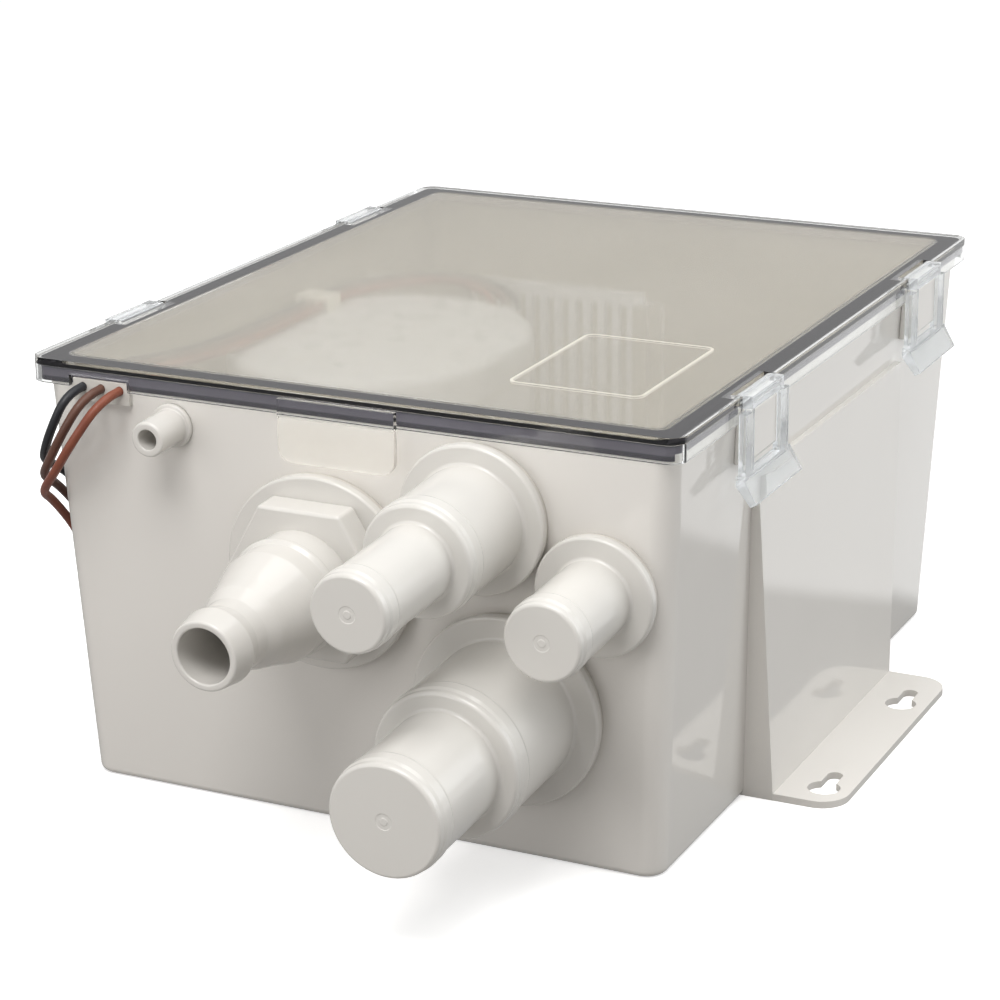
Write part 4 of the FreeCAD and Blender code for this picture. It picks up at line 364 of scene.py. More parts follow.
table_mesh = bpy.data.meshes.new("studio_table")
corners = [(x * table_reach, y * table_reach, 0) for x, y in ((-1, -1), (1, -1), (1, 1), (-1, 1))]
table_mesh.from_pydata(corners, [], [(0, 1, 2, 3)])
table_white, shader, node = new_material("studio_white")
fill(shader, roughness=0.9, base_color=mottled(node, 3.0, srgb(236, 236, 236), srgb(240, 240, 240)))
ray = node("ShaderNodeLightPath").outputs
glow = node("ShaderNodeEmission", color=(0.5, 0.5, 0.5, 1.0), strength=ray["Is Camera Ray"])
dark_table = node("ShaderNodeBsdfDiffuse", color=(0.36, 0.35, 0.34, 1.0))
bounced = node("ShaderNodeMixShader", ray["Is Diffuse Ray"], node("ShaderNodeAddShader", shader, glow),
               dark_table)
# in the walls' reflections the table glows grey near the sump: a painted shadow of the sump
distance_back = node("ShaderNodeSeparateXYZ", vector=on_piece(node)).outputs["Y"]
mirrored_table_with_painted_shadow = node("ShaderNodeMapRange", interpolation_type="SMOOTHSTEP", value=distance_back,
                from_min=mirrored_painted_shadow_until, from_max=mirror_white_from,
                to_min=mirrored_painted_shadow, to_max=mirror_white)
fill(table_white.node_tree.nodes["Material Output"],
     surface=node("ShaderNodeMixShader", ray["Is Glossy Ray"], bounced,
                  node("ShaderNodeEmission", strength=mirrored_table_with_painted_shadow)))
table_mesh.materials.append(table_white)
placed("studio_table", table_mesh)

room = bpy.data.worlds.new("white_room")
bpy.context.scene.world = room
room.use_nodes = True
node = node_maker(room.node_tree)
soft_light = fill(room.node_tree.nodes["Background"], color=(1.0, 0.995, 0.985, 1.0), strength=room_light)
white_wall = node("ShaderNodeBackground", strength=room_seen)
ray = node("ShaderNodeLightPath").outputs
in_mirror = sum_of(node, "MULTIPLY", ray["Is Glossy Ray"], room_mirrored)
seen = sum_of(node, "MAXIMUM", sum_of(node, "MAXIMUM", ray["Is Camera Ray"], in_mirror),
              ray["Is Transmission Ray"])
fill(room.node_tree.nodes["World Output"], surface=node("ShaderNodeMixShader", seen, soft_light, white_wall))

sump_middle = (0, 0, 0.06)
for name, place, width, height, power, colour in (
        ("overhead_box", (0.3, 0.1, 1.5), 1.3, 1.3, 10.5, (1.0, 0.995, 0.99)),
        ("near_top_box", (0.07, -0.56, 0.80), 0.45, 0.35, 4.3, (1.0, 0.985, 0.975)),
        ("front_key", (-0.70, -1.45, 0.40), 0.9, 0.9, 5.2, (1.0, 0.98, 0.965)),
        ("right_rear", (1.35, 0.85, 0.7), 1.0, 1.0, 8.8, (0.95, 0.98, 1.0))):
    lamp = bpy.data.lights.new(name, "AREA")
    lamp.shape = "RECTANGLE"
    lamp.size, lamp.size_y, lamp.energy, lamp.color = width, height, power, colour
    stand = placed(name, lamp)
    stand.location = place
    stand.rotation_euler = (Vector(sump_middle) - Vector(place)).to_track_quat("-Z", "Y").to_euler()

# Tub: one deep moulding in glossy off-white ABS, with leaning walls, a low divider, guides for
# the screen, feet at both sides and lugs for the flaps. Its edges are rounded by the mould. Its
# faces that look towards the middle of the sump are painted darker, as painted shade.


def moulded(name, light, dark, rough, gloss=0.5, ripple=0.05, inside=None):
    """Moulded plastic: slow drift of shade, faint flow ripple and a fine skin. With a colour for its
    inside, the faces that look towards the middle of the sump take it, as painted shade."""
    material, shader, node = finish(name, (9.0, dark, light), (160.0, rough * 0.85, rough * 1.2),
                                    (1500.0, ripple, 0.00008), specular_ior_level=gloss)
    fill(shader.inputs["Normal"].links[0].from_node, normal=skin(node, 26.0, 0.12, 0.0008, detail=1.0))
    if inside:
        spot = node("ShaderNodeTexCoord").outputs
        from_middle = node("ShaderNodeVectorMath", spot["Object"], sump_middle, operation="SUBTRACT")
        outward = node("ShaderNodeVectorMath", from_middle, spot["Normal"], operation="DOT_PRODUCT")
        inward = sum_of(node, "LESS_THAN", outward.outputs["Value"], 0.0)
        outer_colour = shader.inputs["Base Color"].links[0].from_socket
        fill(shader, base_color=node("ShaderNodeMixRGB", inward, outer_colour, inside))
    return material


def soft_edged(node_name, name, material, slot, edge, turns=2, sharp=math.radians(32.0)):
    """A merged copy of a CAD node whose sharp edges are rounded, as a mould leaves them. With an edge
    of 0 the piece keeps flat faces and crisp edges."""
    source = frame["nodes"][node_name]
    mesh = source.data.copy()
    mesh.name = name
    mesh.materials.clear()
    mesh.materials.append(material)
    work = bmesh.new()
    work.from_mesh(mesh)
    bmesh.ops.remove_doubles(work, verts=work.verts, dist=0.000002)
    bmesh.ops.dissolve_degenerate(work, edges=work.edges, dist=0.000002)
    if edge:
        bmesh.ops.dissolve_limit(work, angle_limit=math.radians(0.6), verts=work.verts, edges=work.edges)
    for face in work.faces:
        face.smooth = edge > 0
        face.material_index = 0
    work.to_mesh(mesh)
    work.free()
    if mesh.attributes.get("custom_normal"):
        mesh.attributes.remove(mesh.attributes["custom_normal"])
    piece = placed(name, mesh)
    if edge:
        rounding = piece.modifiers.new("broken_edges", "BEVEL")
        rounding.width, rounding.segments, rounding.harden_normals = edge, turns, True
        rounding.limit_method, rounding.angle_limit = "ANGLE", sharp
    return carried(piece, source["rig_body"], slot, node_name)


tub_shades = (srgb(226, 223, 218), srgb(221, 218, 213), 0.07, 0.6)
tub_plastic = moulded("tub_abs", *tub_shades)
# the darker beige on the faces that look inwards is painted shade
tub_plastic_painted_inner_shade = moulded("tub_abs_duller_inside", *tub_shades, inside=srgb(176, 170, 153))
soft_edged("tub", "tub_moulding", tub_plastic_painted_inner_shade, "tub_plastic", 0.0006, turns=3)
for part, edge in (("foot_right", 0.0007), ("foot_left", 0.0007), ("latch_lugs", 0.0004)):
    soft_edged(part, part + "_moulding", tub_plastic, "tub_plastic", edge, turns=3)

# Lid: a clear moulding in thin acrylic with a rim, hinge rods and a finger tab. Its plate has a fine
# frosted texture underneath and a raised outline near the right front corner, left blank inside.
# The plate's beige-grey haze is partly that frost and partly painted shade of the tub's inside.

plate_half, plate_corner = (0.0840, 0.1074), 0.003
outline_middle, outline_half, outline_corner = (0.0510, -0.0600), (0.0180, 0.0250), 0.0025
outline_half_width = 0.00042
tab_top = 0.1121


def clear_plastic(name, tint, rough):
    """Clear moulded plastic with a faint unevenness."""
    return finish(name, (12.0, tint, srgb(252, 253, 253)), (120.0, rough * 0.6, rough * 1.4),
                  (60.0, 0.02, 0.0004, 2.0), transmission_weight=1.0, ior=1.49, specular_ior_level=0.25)


def with_pale_share(node, clear, share, scale, low, high):
    """Mixes a share of dull pale colour into a shader. It gives frost, milkiness and an outline,
    and also painted shade and a painted reflection on the lid.
    """
    return node("ShaderNodeMixShader", share, clear,
                node("ShaderNodeBsdfDiffuse", color=mottled(node, scale, low, high)))


def lets_lamps_through(node, shader, tint):
    """Lamps shine through, so what lies under clear plastic is lit, less what its tint takes."""
    return node("ShaderNodeMixShader", node("ShaderNodeLightPath").outputs["Is Shadow Ray"], shader,
                node("ShaderNodeBsdfTransparent", color=tint))


def beyond_box(node, spot, middle, half, corner):
    """How far a spot lies outside a rounded rectangle on the lid; negative inside it."""
    out = []
    for axis, centre, reach in zip("XY", middle, half):
        off = sum_of(node, "ABSOLUTE", sum_of(node, "SUBTRACT", spot[axis], centre))
        out.append(sum_of(node, "MAXIMUM", sum_of(node, "SUBTRACT", off, reach - corner), 0.0))
    squares = [sum_of(node, "POWER", value, 2.0) for value in out]
    length = sum_of(node, "SQRT", sum_of(node, "ADD", *squares))
    return sum_of(node, "SUBTRACT", length, corner)


def on_plate(node, edge, outside, inside, blur=0.0006):
    """One value on the lid's plate and another on its rim."""
    return node("ShaderNodeMapRange", value=edge, from_min=blur, from_max=-blur,
                to_min=outside, to_max=inside)


lid_clear, look, node = clear_plastic("lid_acrylic", srgb(244, 245, 243), 0.05)
spot = node("ShaderNodeSeparateXYZ", vector=on_piece(node)).outputs
plate_edge = beyond_box(node, spot, (0.0, 0.0), plate_half, plate_corner)
outline = beyond_box(node, spot, outline_middle, outline_half, outline_corner)
on_outline = sum_of(node, "LESS_THAN", sum_of(node, "ABSOLUTE", outline), outline_half_width)
tab_painted_reflection_mask = sum_of(node, "LESS_THAN", spot["Z"], tab_top)
# beige-grey share on the plate: partly the lid's frost, partly painted shade of the tub's inside
look = with_pale_share(node, look, on_plate(node, plate_edge, 0.0, 0.28), 7.0, srgb(186, 180, 167),
              srgb(193, 187, 175))
# whitish share on the finger tab is a painted reflection, for the wall seen through it and its sheen
look = with_pale_share(node, look, sum_of(node, "MULTIPLY", tab_painted_reflection_mask, 0.4), 60.0, srgb(228, 224, 217),
              srgb(236, 232, 225))
look = with_pale_share(node, look, sum_of(node, "MULTIPLY", on_outline, 0.55), 300.0, srgb(228, 224, 212),
              srgb(236, 232, 222))
fill(lid_clear.node_tree.nodes["Material Output"],
     surface=lets_lamps_through(node, look, on_plate(node, plate_edge, 0.95, 0.68)))
soft_edged("lid", "lid_moulding", lid_clear, "clear_plastic", 0.0005)

# Flaps: four clear polycarbonate flaps that turn on rods in the lid's edge. Each has a window, a bar
# that hooks under a lug of the tub, and a sloping tab for the finger.

latch_clear, look, node = clear_plastic("latch_polycarbonate", srgb(240, 243, 245), 0.04)
look = lets_lamps_through(node, look, (0.9, 0.9, 0.9, 1.0))
fill(latch_clear.node_tree.nodes["Material Output"],
     surface=with_pale_share(node, look, 0.16, 80.0, srgb(236, 239, 240), srgb(244, 246, 247)))
for latch in ("latch_front_right", "latch_front_left", "latch_rear_right", "latch_rear_left"):
    soft_edged(latch, latch + "_moulding", latch_clear, "clear_plastic", 0.0003)

# Lid gasket: a soft dark foam-rubber ring pressed between the lid and the tub's top edge. It is the
# charcoal band seen all round through the clear lid. Its colour is painted by height: the foot and
# the crown darker, as painted shade, and the band between them lighter.

gasket_low, gasket_high = 0.1130, 0.1170
gasket_foot_painted_shade, gasket_crown_painted_shade, crown_from = srgb(52, 50, 57), srgb(50, 48, 54), 0.95
gasket_bands_with_painted_shade = ((0.3, srgb(58, 56, 63)), (0.38, srgb(96, 93, 102)), (0.82, srgb(86, 83, 92)))


def rubber(name, rough, *shades):
    """Soft rubber: dull, with a fine grain. Its colour wanders between the two shades given."""
    return finish(name, shades and (70.0, *shades), (400.0, rough * 0.9, rough * 1.1), (2400.0, 0.3, 0.0001),
                  specular_ior_level=0.35)


gasket_rubber, shader, node = rubber("gasket_foam", 0.6)
# painted shade by height: a dark foot and crown, with a lighter band between them
height = node("ShaderNodeSeparateXYZ", vector=on_piece(node)).outputs["Z"]
level = node("ShaderNodeMapRange", value=height, from_min=gasket_low, from_max=gasket_high)
gasket_painted_shade_stripes = node("ShaderNodeValToRGB", fac=level)
bands = gasket_painted_shade_stripes.color_ramp.elements
bands[0].color, bands[1].color, bands[1].position = gasket_foot_painted_shade, gasket_crown_painted_shade, crown_from
for place, colour in gasket_bands_with_painted_shade:
    bands.new(place).color = colour
fill(shader, base_color=gasket_painted_shade_stripes)
soft_edged("lid_gasket", "lid_gasket_ring", gasket_rubber, "seal_rubber", 0.0004)

# Port seals: flat rings of pale soft rubber between each fitting's flange and the wall. The nuts
# inside the tub press them flat.

seal_rubber = rubber("port_seal_rubber", 0.5, srgb(196, 192, 184), srgb(206, 202, 195))[0]
for seal in ("inlet_seal_upper", "inlet_seal_right", "inlet_seal_lower", "discharge_seal"):
    soft_edged(seal, seal + "_ring", seal_rubber, "seal_rubber", 0.0003)

# Grommet: a pale rubber block in the tub's front edge that grips the three leads. It sits in a notch
# of the edge.

grommet_rubber = rubber("grommet_rubber", 0.6, srgb(196, 193, 187), srgb(206, 203, 197))[0]
soft_edged("wire_grommet", "wire_grommet_block", grommet_rubber, "seal_rubber", 0.0003)

# Inlets: glossy plastic spigots, moulded with one or two steps, a low ring on each and a flange
# against the wall. Their closed ends carry a gate mark, and are cut off by the fitter.

# Sizes in mm. A port has its place across and up the wall, the radii of its thread and flange, and
# each step's radius and end.
wall_foot, wall_lean, wall_height = 106.5, 5.2, 114.6
thread_end, seal_face, flange_face, fitting_wall = -11.0, 2.0, 4.8, 2.2
thread_root_depth, thread_start = 0.42, 10.4
inlets = {
    "upper": (36.8, 92.0, 15.0, 19.7, ((14.6, 33.8), (9.9, 67.9))),
    "right": (69.4, 76.6, 9.8, 15.8, ((10.1, 34.2),)),
    "lower": (44.5, 41.9, 20.2, 25.7, ((19.4, 38.0), (14.7, 69.4))),
}


def on_wall(across, level):
    """Stands a piece that is drawn about z, in mm, on the leaning front wall."""
    out = -(wall_foot + wall_lean * level / wall_height)
    return (Matrix.Translation((across / 1000, out / 1000, level / 1000))
            @ Matrix.Rotation(math.radians(90) + math.atan(wall_lean / wall_height), 4, "X")
            @ Matrix.Scale(0.001, 4))


def behind_wall(across, level, depth):
    """Stands a piece that is drawn in metres so many mm behind the front wall's face."""
    return on_wall(across, level) @ Matrix.Translation((0, 0, -depth)) @ Matrix.Scale(1000, 4)


def rounded_profile(points, steps=6):
    """Replaces each (radius, height, round) corner by a small arc."""
    spots = []
    for index, (radius, height, bend) in enumerate(points):
        corner = Vector((radius, height))
        if not bend or radius < 0.001:
            spots.append(corner)
            continue
        back = Vector(points[index - 1][:2]) - corner
        onward = Vector(points[(index + 1) % len(points)][:2]) - corner
        half = (math.pi - back.angle(onward)) / 2
        reach = min(bend * math.tan(half), back.length * 0.49, onward.length * 0.49)
        first = corner + back.normalized() * reach
        inward = (back.normalized() + onward.normalized()).normalized()
        middle = corner + inward * (reach / math.tan(half) / math.cos(half))
        start = first - middle
        turn = 2 * half * (1 if start.x * (corner - middle).y - start.y * (corner - middle).x > 0 else -1)
        for step in range(steps + 1):
            angle = turn * step / steps
            spots.append(middle + Vector((start.x * math.cos(angle) - start.y * math.sin(angle),
                                          start.x * math.sin(angle) + start.y * math.cos(angle))))
    return spots


def turned_shape(name, profile, material, placing, sides):
    """Turns a closed profile about z. It starts and ends on the axis, or never meets it."""
    work = bmesh.new()
    rings = []
    for spot in rounded_profile(profile):
        angles = [2 * math.pi * side / sides for side in range(1 if spot.x < 0.001 else sides)]
        rings.append([work.verts.new((spot.x * math.cos(angle), spot.x * math.sin(angle), spot.y))
                      for angle in angles])
    for ring, following in zip(rings, rings[1:] + rings[:1]):
        if len(ring) == len(following) == 1:
            continue
        for side in range(sides):
            corners = [one[(side + on) % len(one)]
                       for one, on in ((ring, 0), (ring, 1), (following, 1), (following, 0))]
            work.faces.new(tuple(dict.fromkeys(corners)))
    bmesh.ops.recalc_face_normals(work, faces=work.faces)
    mesh = bpy.data.meshes.new(name)
    work.to_mesh(mesh)
    work.free()
    mesh.shade_smooth()
    mesh.transform(placing)
    mesh.materials.append(material)
    return placed(name, mesh)


def fitting(name, node_name, profile, placing, sides=144):
    """A round plastic fitting on the front wall."""
    piece = turned_shape(name, profile, fitting_plastic, placing, sides)
    even = piece.modifiers.new("even_shading", "WEIGHTED_NORMAL")
    even.weight = 100
    even.keep_sharp = False
    return carried(piece, "root", "fitting_plastic", node_name)


def inlet_profile(thread, flange, steps):
    """Corners of a closed spigot, from its threaded end along the outside, and back inside."""
    corners = [(thread, thread_end, 0.4), (thread, seal_face, 0.0), (flange, seal_face, 0.5),
               (flange, flange_face, 0.8)]
    low = flange_face
    for radius, end in steps:
        corners += [(radius, low, 0.9), (radius, end - 7.0, 0.5), (radius + 0.35, end - 6.0, 0.5),
                    (radius + 0.35, end - 3.0, 0.5), (radius, end - 2.0, 0.5), (radius, end, 1.3)]
        low = end
    corners += [(2.2, low, 0.2), (2.0, low - 0.12, 0.1), (1.1, low - 0.12, 0.1), (0.9, low + 0.02, 0.1),
                (0.0, low + 0.02, 0.0), (0.0, low - fitting_wall, 0.0)]
    wide, wide_end = steps[0][0] - fitting_wall, steps[0][1] - fitting_wall
    if len(steps) > 1:
        narrow = steps[1][0] - fitting_wall
        corners += [(narrow, low - fitting_wall, 0.6), (narrow, wide_end, 0.6)]
    return corners + [(wide, wide_end, 0.6), (wide, seal_face, 0.4), (thread - fitting_wall, seal_face, 0.3),
                      (thread - fitting_wall, thread_end, 0.3)]


def thread_ridge(node, turns, radius, length, ridge):
    """A thread: a ridge that winds round the z axis."""
    coil = node("GeometryNodeCurveSpiral", resolution=96, rotations=turns, start_radius=radius,
                end_radius=radius, height=length)
    crest = node("GeometryNodeCurvePrimitiveCircle", resolution=6, radius=ridge)
    return node("GeometryNodeCurveToMesh", curve=coil, profile_curve=crest, fill_caps=True)


def fitting_thread(name, across, level, radius):
    """The thread that a fitting's nut turns on, inside the tub."""
    grown(name, moulded_thread, behind_wall(across, level, thread_start), "root", "fitting_plastic",
          turns=3.0, radius=(radius - thread_root_depth) / 1000, length=0.0076, ridge=0.00048,
          material=fitting_plastic)


fitting_plastic = moulded("fitting_abs", srgb(216, 214, 209), srgb(212, 209, 204), 0.2, gloss=0.6)
moulded_thread = shape_tree("moulded_thread", thread_ridge, turns=4.0, radius=0.015, length=0.008,
                            ridge=0.0005)
for port, (across, level, thread, flange, steps) in inlets.items():
    fitting("inlet_%s_spigot" % port, "inlet_" + port, inlet_profile(thread, flange, steps),
            on_wall(across, level))
    fitting_thread("inlet_%s_thread" % port, across, level, thread)

# Discharge: the same plastic, with a hexagonal collar, a cone, a barbed tail for a hose and an open
# bore with a check flap behind it.

outlet_place, outlet_thread = (-7.0, 71.6), 14.0
outlet_profile = [
    (12.2, thread_end, 0.3), (outlet_thread, thread_end, 0.4), (outlet_thread, seal_face, 0.0),
    (26.2, seal_face, 0.5), (26.2, flange_face, 0.8), (14.8, flange_face, 0.8), (14.8, 20.0, 0.6),
    (15.6, 21.0, 0.6), (15.6, 22.0, 0.6), (14.8, 23.0, 0.6), (14.8, 29.0, 2.6), (12.0, 38.0, 3.0),
    (11.0, 42.0, 2.0), (9.3, 46.0, 2.0), (8.9, 50.0, 1.4), (10.0, 54.0, 1.6), (9.0, 60.8, 0.7),
    (7.2, 60.8, 0.5), (7.2, 27.0, 0.8), (12.2, 24.0, 0.8)]
collar_profile = [(14.2, 4.6, 0.0), (23.09, 4.6, 0.0), (23.09, 13.0, 0.0), (14.2, 13.0, 0.0)]
fitting("discharge_spigot", "discharge_fitting", outlet_profile, on_wall(*outlet_place))
collar = turned_shape("discharge_collar", collar_profile, fitting_plastic, on_wall(*outlet_place), 6)
collar_edges = collar.modifiers.new("broken_edges", "BEVEL")
collar_edges.width, collar_edges.segments, collar_edges.harden_normals = 0.0009, 4, True
carried(collar, "root", "fitting_plastic")
fitting_thread("discharge_thread", *outlet_place, outlet_thread)

# Vent nipple: a short open tube high on the front wall, in the same plastic. Its stem goes through
# the wall, and a low rim seats it.

vent_profile = [
    (2.7, -5.2, 0.2), (4.7, -5.2, 0.3), (4.7, 0.0, 0.0), (5.9, 0.0, 0.0), (5.9, 1.4, 0.6), (4.7, 1.4, 0.5),
    (4.7, 12.8, 0.7), (2.7, 12.8, 0.3)]
fitting("vent_tube", "vent_nipple", vent_profile, on_wall(-50.0, 104.8), sides=96)

# Locknuts and the valve's seat: the nuts hold the fittings from inside the tub. Each has a ring of
# small teeth on its face, which bite so that it stays tight.


def block_ring(node, count, radius, block, tilt):
    """Like blocks set round the z axis, each tilted outwards."""
    spots = node("GeometryNodeMeshCircle", vertices=count, radius=radius)
    return set_round(node, spots, node("GeometryNodeMeshCube", size=block), count, tilt)


ring_of_blocks = shape_tree("ring_of_blocks", block_ring, count=12, radius=0.01, block=(0.001, 0.001, 0.001),
                            tilt=0.0)
nut_plastic = moulded("nut_abs", srgb(222, 219, 212), srgb(214, 211, 203), 0.32, gloss=0.45)
tooth_depth, tooth_reach = 9.7, 1.5
nuts = [("inlet_nut_" + port, *sizes[:3]) for port, sizes in inlets.items()]
for nut, across, level, radius in (*nuts, ("discharge_nut", *outlet_place, outlet_thread)):
    soft_edged(nut, nut + "_moulding", nut_plastic, "fitting_plastic", 0.0005, turns=3)
    grown(nut + "_teeth", ring_of_blocks, behind_wall(across, level, tooth_depth), "root",
          "fitting_plastic", count=24, radius=(radius + tooth_reach) / 1000,
          block=(0.0016, 0.0007, 0.0005), tilt=0.3, material=nut_plastic)
soft_edged("valve_seat", "valve_seat_moulding", nut_plastic, "fitting_plastic", 0.0004)

# Check flap: a black rubber flap on a steel pin, which closes the discharge when the pump stops. The
# pin lies across the top of the valve's seat.


def metal(name, light, dark, rough, scale=900.0, stretch=(1.0, 1.0, 1.0)):
    """Bare metal with drawn or turned marks, long where they are stretched."""
    material, shader, node = new_material(name)
    drawn = node("ShaderNodeMapping", vector=on_piece(node), scale=stretch)
    marks = node("ShaderNodeTexNoise", vector=drawn, scale=scale, detail=3.0)
    fill(shader, metallic=1.0, base_color=mottled(node, 60.0, dark, light),
         roughness=mottled(node, scale, rough * 0.8, rough * 1.3),
         normal=node("ShaderNodeBump", height=marks, strength=0.12, distance=0.00003))
    return material


flap_rubber = rubber("flap_rubber", 0.55, srgb(38, 38, 40), srgb(52, 52, 54))[0]
steel = metal("stainless_steel", srgb(206, 206, 204), srgb(182, 182, 180), 0.24)
soft_edged("check_flap", "check_flap_disc", flap_rubber, "valve_rubber", 0.0003)
soft_edged("check_flap_pin", "check_flap_pin_bar", steel, "stainless_steel", 0.0002)

# Pump housing: strainer base, oval shell and cap in white plastic, seen dimly through the lid. The
# cap has a soft seal under it, and three screws hold the strainer to the shell.

screw_places = {"left_rear": (-0.067, 0.020, 0.0072), "right_rear": (-0.019, 0.020, 0.0072),
                "left_front": (-0.067, -0.038, 0.0072)}
pump_plastic = moulded("pump_abs", srgb(226, 226, 226), srgb(220, 220, 220), 0.3, gloss=0.45)
for part, edge in (("pump_cap", 0.0006), ("pump_shell", 0.0005), ("strainer_base", 0.0004)):
    soft_edged(part, part + "_moulding", pump_plastic, "pump_plastic", edge, turns=3)
soft_edged("cap_seal", "cap_seal_ring", seal_rubber, "seal_rubber", 0.0003)
soft_edged("base_screws", "base_screw_bars", steel, "stainless_steel", 0.0002)
screw_thread = metal("screw_thread_steel", srgb(196, 196, 194), srgb(170, 170, 168), 0.3)
for name, place in screw_places.items():
    grown("base_screw_%s_thread" % name, moulded_thread, Matrix.Translation(place), "root", "stainless_steel",
          turns=9.0, radius=0.00182, length=0.0132, ridge=0.00016, material=screw_thread)

# Volute and impeller: the pump's working end, under the bulkhead of the shell. The volute is moulded
# as the shell is, the impeller is acetal, and a nitrile seal keeps water from the motor.

acetal = moulded("impeller_acetal", srgb(226, 224, 218), srgb(216, 214, 208), 0.3)
nitrile = rubber("shaft_seal_nitrile", 0.5, srgb(36, 36, 38), srgb(48, 48, 50))[0]
soft_edged("volute", "volute_moulding", pump_plastic, "pump_plastic", 0.0005, turns=3)
soft_edged("impeller", "impeller_moulding", acetal, "pump_plastic", 0.0003)
soft_edged("shaft_seal", "shaft_seal_ring", nitrile, "seal_rubber", 0.0002)

# Motor: a steel can with two magnets, a wound rotor on a ground shaft, a brass commutator, carbon
# brushes in the end cap, and a bush at each end.

windings_place, commutator_place = (-0.043, 0, 0.060), (-0.043, 0, 0.0760)


def tooth_windings(node, teeth, loops, first_radius, pitch, height, wire_radius):
    """Loops of enamelled wire stacked outwards on each tooth of the rotor, round the z axis."""
    half_tooth = sum_of(node, "DIVIDE", math.pi, teeth)
    narrow, wide = sum_of(node, "COSINE", half_tooth), sum_of(node, "SINE", half_tooth)
    first = node("ShaderNodeCombineXYZ", x=sum_of(node, "MULTIPLY", first_radius, narrow))
    step = node("ShaderNodeCombineXYZ", x=sum_of(node, "MULTIPLY", pitch, narrow))
    stack = node("GeometryNodeMeshLine", count=loops, start_location=first, offset=step)
    loop = node("GeometryNodeCurvePrimitiveQuadrilateral", width=1.0, height=height)
    upright = node("GeometryNodeTransform", geometry=loop, rotation=(math.radians(90), 0, math.radians(90)))
    outwards = sum_of(node, "MULTIPLY", node("GeometryNodeInputIndex"), pitch)
    radius = sum_of(node, "ADD", first_radius, outwards)
    across = sum_of(node, "MULTIPLY", sum_of(node, "MULTIPLY", radius, wide), 2.0)
    stacked = node("GeometryNodeInstanceOnPoints", points=stack, instance=upright,
                   scale=node("ShaderNodeCombineXYZ", x=1.0, y=across, z=1.0))
    loops_alone = node("GeometryNodeRealizeInstances", geometry=stacked)
    soft = node("GeometryNodeFilletCurve", curve=loops_alone, radius=0.0006)
    section = node("GeometryNodeCurvePrimitiveCircle", resolution=8, radius=wire_radius)
    wire = node("GeometryNodeCurveToMesh", curve=soft, profile_curve=section)
    poles = node("GeometryNodeMeshLine", count=teeth, offset=(0, 0, 0))
    pole = sum_of(node, "ADD", sum_of(node, "MULTIPLY", node("GeometryNodeInputIndex"), 2.0), 1.0)
    heading = node("ShaderNodeCombineXYZ", z=sum_of(node, "MULTIPLY", pole, half_tooth))
    return node("GeometryNodeInstanceOnPoints", points=poles, instance=wire, rotation=heading)


can_steel = metal("zinc_plated_can", srgb(196, 198, 202), srgb(172, 174, 178), 0.3, 700.0, (1.0, 1.0, 0.05))
soft_edged("motor_shaft", "motor_shaft_bar", steel, "stainless_steel", 0.0003)
soft_edged("motor_can", "motor_can_shell", can_steel, "stainless_steel", 0.0005, turns=3)
magnet_dark = finish("ferrite", (400.0, srgb(46, 46, 48), srgb(66, 66, 68)), (600.0, 0.55, 0.75),
                     (1800.0, 0.25, 0.0001))[0]
soft_edged("magnets", "motor_magnets", magnet_dark, "magnet", 0.0004)

laminated, shader, node = new_material("lacquered_laminations")
layers = node("ShaderNodeTexWave", vector=on_piece(node), bands_direction="Z", scale=620.0,
              distortion=0.3).outputs["Fac"]
shades = node("ShaderNodeValToRGB", fac=layers)
for stop, colour in zip(shades.color_ramp.elements, (srgb(92, 84, 76), srgb(142, 134, 124))):
    stop.color = colour
fill(shader, metallic=0.7, base_color=shades, roughness=mottled(node, 300.0, 0.32, 0.5),
     normal=node("ShaderNodeBump", height=layers, strength=0.4, distance=0.00008))
soft_edged("armature", "armature_stack", laminated, "rotor_iron", 0.0002)
copper = metal("enamelled_copper", srgb(190, 112, 66), srgb(160, 88, 48), 0.26)
rotor_windings = shape_tree("rotor_windings", tooth_windings, teeth=5, loops=11, first_radius=0.0058,
                            pitch=0.00054, height=0.025, wire_radius=0.00024)
grown("rotor_windings", rotor_windings, Matrix.Translation(windings_place), "rotor", "rotor_iron", teeth=5,
      loops=10, first_radius=0.0060, pitch=0.00056, height=0.0249, wire_radius=0.00022, material=copper)

brass = metal("commutator_brass", srgb(212, 178, 112), srgb(190, 154, 90), 0.24, 900.0, (1.0, 1.0, 0.1))
bronze = metal("oiled_bronze", srgb(188, 150, 98), srgb(160, 124, 78), 0.4)
carbon = finish("brush_carbon", (900.0, srgb(34, 34, 36), srgb(52, 52, 54)), (900.0, 0.5, 0.7),
                (3000.0, 0.3, 0.00006))[0]
end_plastic = moulded("end_cap_nylon", srgb(64, 64, 66), srgb(52, 52, 54), 0.45, gloss=0.4)
soft_edged("commutator", "commutator_ring", brass, "brass", 0.0002)
grown("commutator_gaps", ring_of_blocks, Matrix.Translation(commutator_place), "rotor", "carbon", count=10,
      radius=0.00492, block=(0.0003, 0.00028, 0.0059), tilt=0.0, material=magnet_dark)
soft_edged("motor_bushes", "motor_bush_rings", bronze, "brass", 0.0003)
soft_edged("motor_brushes", "motor_brush_blocks", carbon, "carbon", 0.0002)
soft_edged("motor_end_cap", "motor_end_cap_moulding", end_plastic, "pump_plastic", 0.0004)

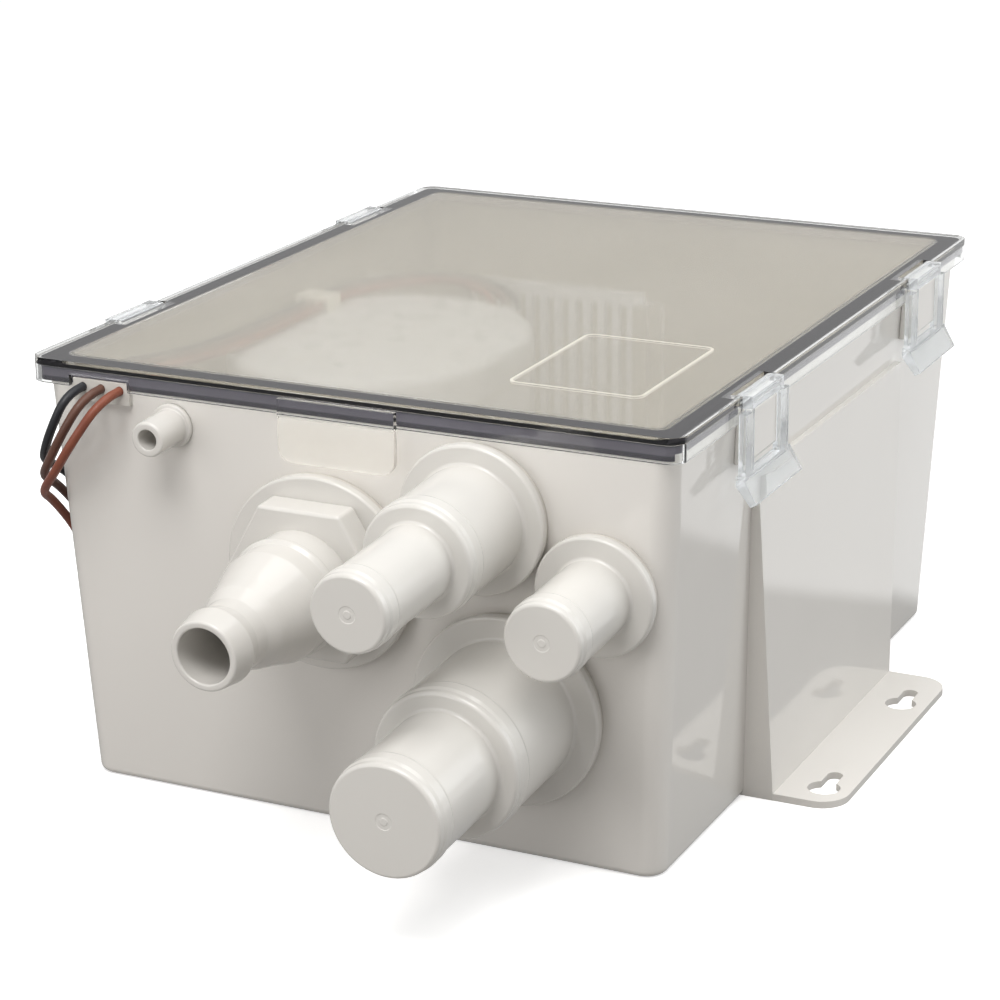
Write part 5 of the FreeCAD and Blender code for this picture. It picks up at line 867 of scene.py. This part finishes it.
# Level switch: a foam float with a disc magnet in a tube, a stop above it and a sealed switch beside
# it. The tube, the stop and the switch's case are moulded as the pump is.

float_foam = moulded("float_foam", srgb(228, 196, 120), srgb(218, 184, 108), 0.55, gloss=0.35, ripple=0.2)
for part in ("float_tube", "float_stop", "level_switch"):
    soft_edged(part, part + "_moulding", pump_plastic, "pump_plastic", 0.0003)
soft_edged("level_float", "level_float_body", float_foam, "pump_plastic", 0.0008, turns=3)
soft_edged("float_magnet", "float_magnet_disc", magnet_dark, "magnet", 0.0003)

# Filter screen: a slotted panel in white plastic that slides down between two guides. It keeps crisp
# edges, because rounding them would spoil its thin bars.

soft_edged("filter_screen", "filter_screen_panel", pump_plastic, "fitting_plastic", 0)

# Riser hose: soft pale rubber with a ribbed grip band at each end, from the pump's spout up to the
# discharge, with a steel clamp round each end.

hose_rubber = rubber("riser_hose_rubber", 0.5, srgb(176, 174, 168), srgb(190, 188, 182))[0]
clamp_dark = metal("clamp_slots", srgb(96, 96, 98), srgb(72, 72, 74), 0.45)
high_clamp_depth = 17.75
clamp_places = {
    "low": Matrix.Translation((-0.0274, -0.06205, 0.027)) @ Matrix.Rotation(math.radians(90), 4, "X"),
    "high": behind_wall(*outlet_place, high_clamp_depth),
}
soft_edged("riser_hose", "riser_hose_tube", hose_rubber, "hose_rubber", 0.0005, turns=3)
soft_edged("hose_clamps", "hose_clamp_bands", steel, "stainless_steel", 0.0002)
for name, place in clamp_places.items():
    grown("hose_clamp_%s_slots" % name, ring_of_blocks, place, "root", "stainless_steel", count=36,
          radius=0.01196, block=(0.00016, 0.0011, 0.0034), tilt=0.12, material=clamp_dark)

# Clip and tie: the clip holds the three leads down on the pump's cap, the tie keeps their coils. Both
# are moulded in natural nylon.

nylon = moulded("natural_nylon", srgb(228, 224, 210), srgb(220, 216, 200), 0.34, gloss=0.45)
soft_edged("wire_clip", "wire_clip_moulding", nylon, "fitting_plastic", 0.0003)
soft_edged("coil_tie", "coil_tie_band", nylon, "fitting_plastic", 0.0002)

bpy.context.scene.view_settings.view_transform = "Standard"
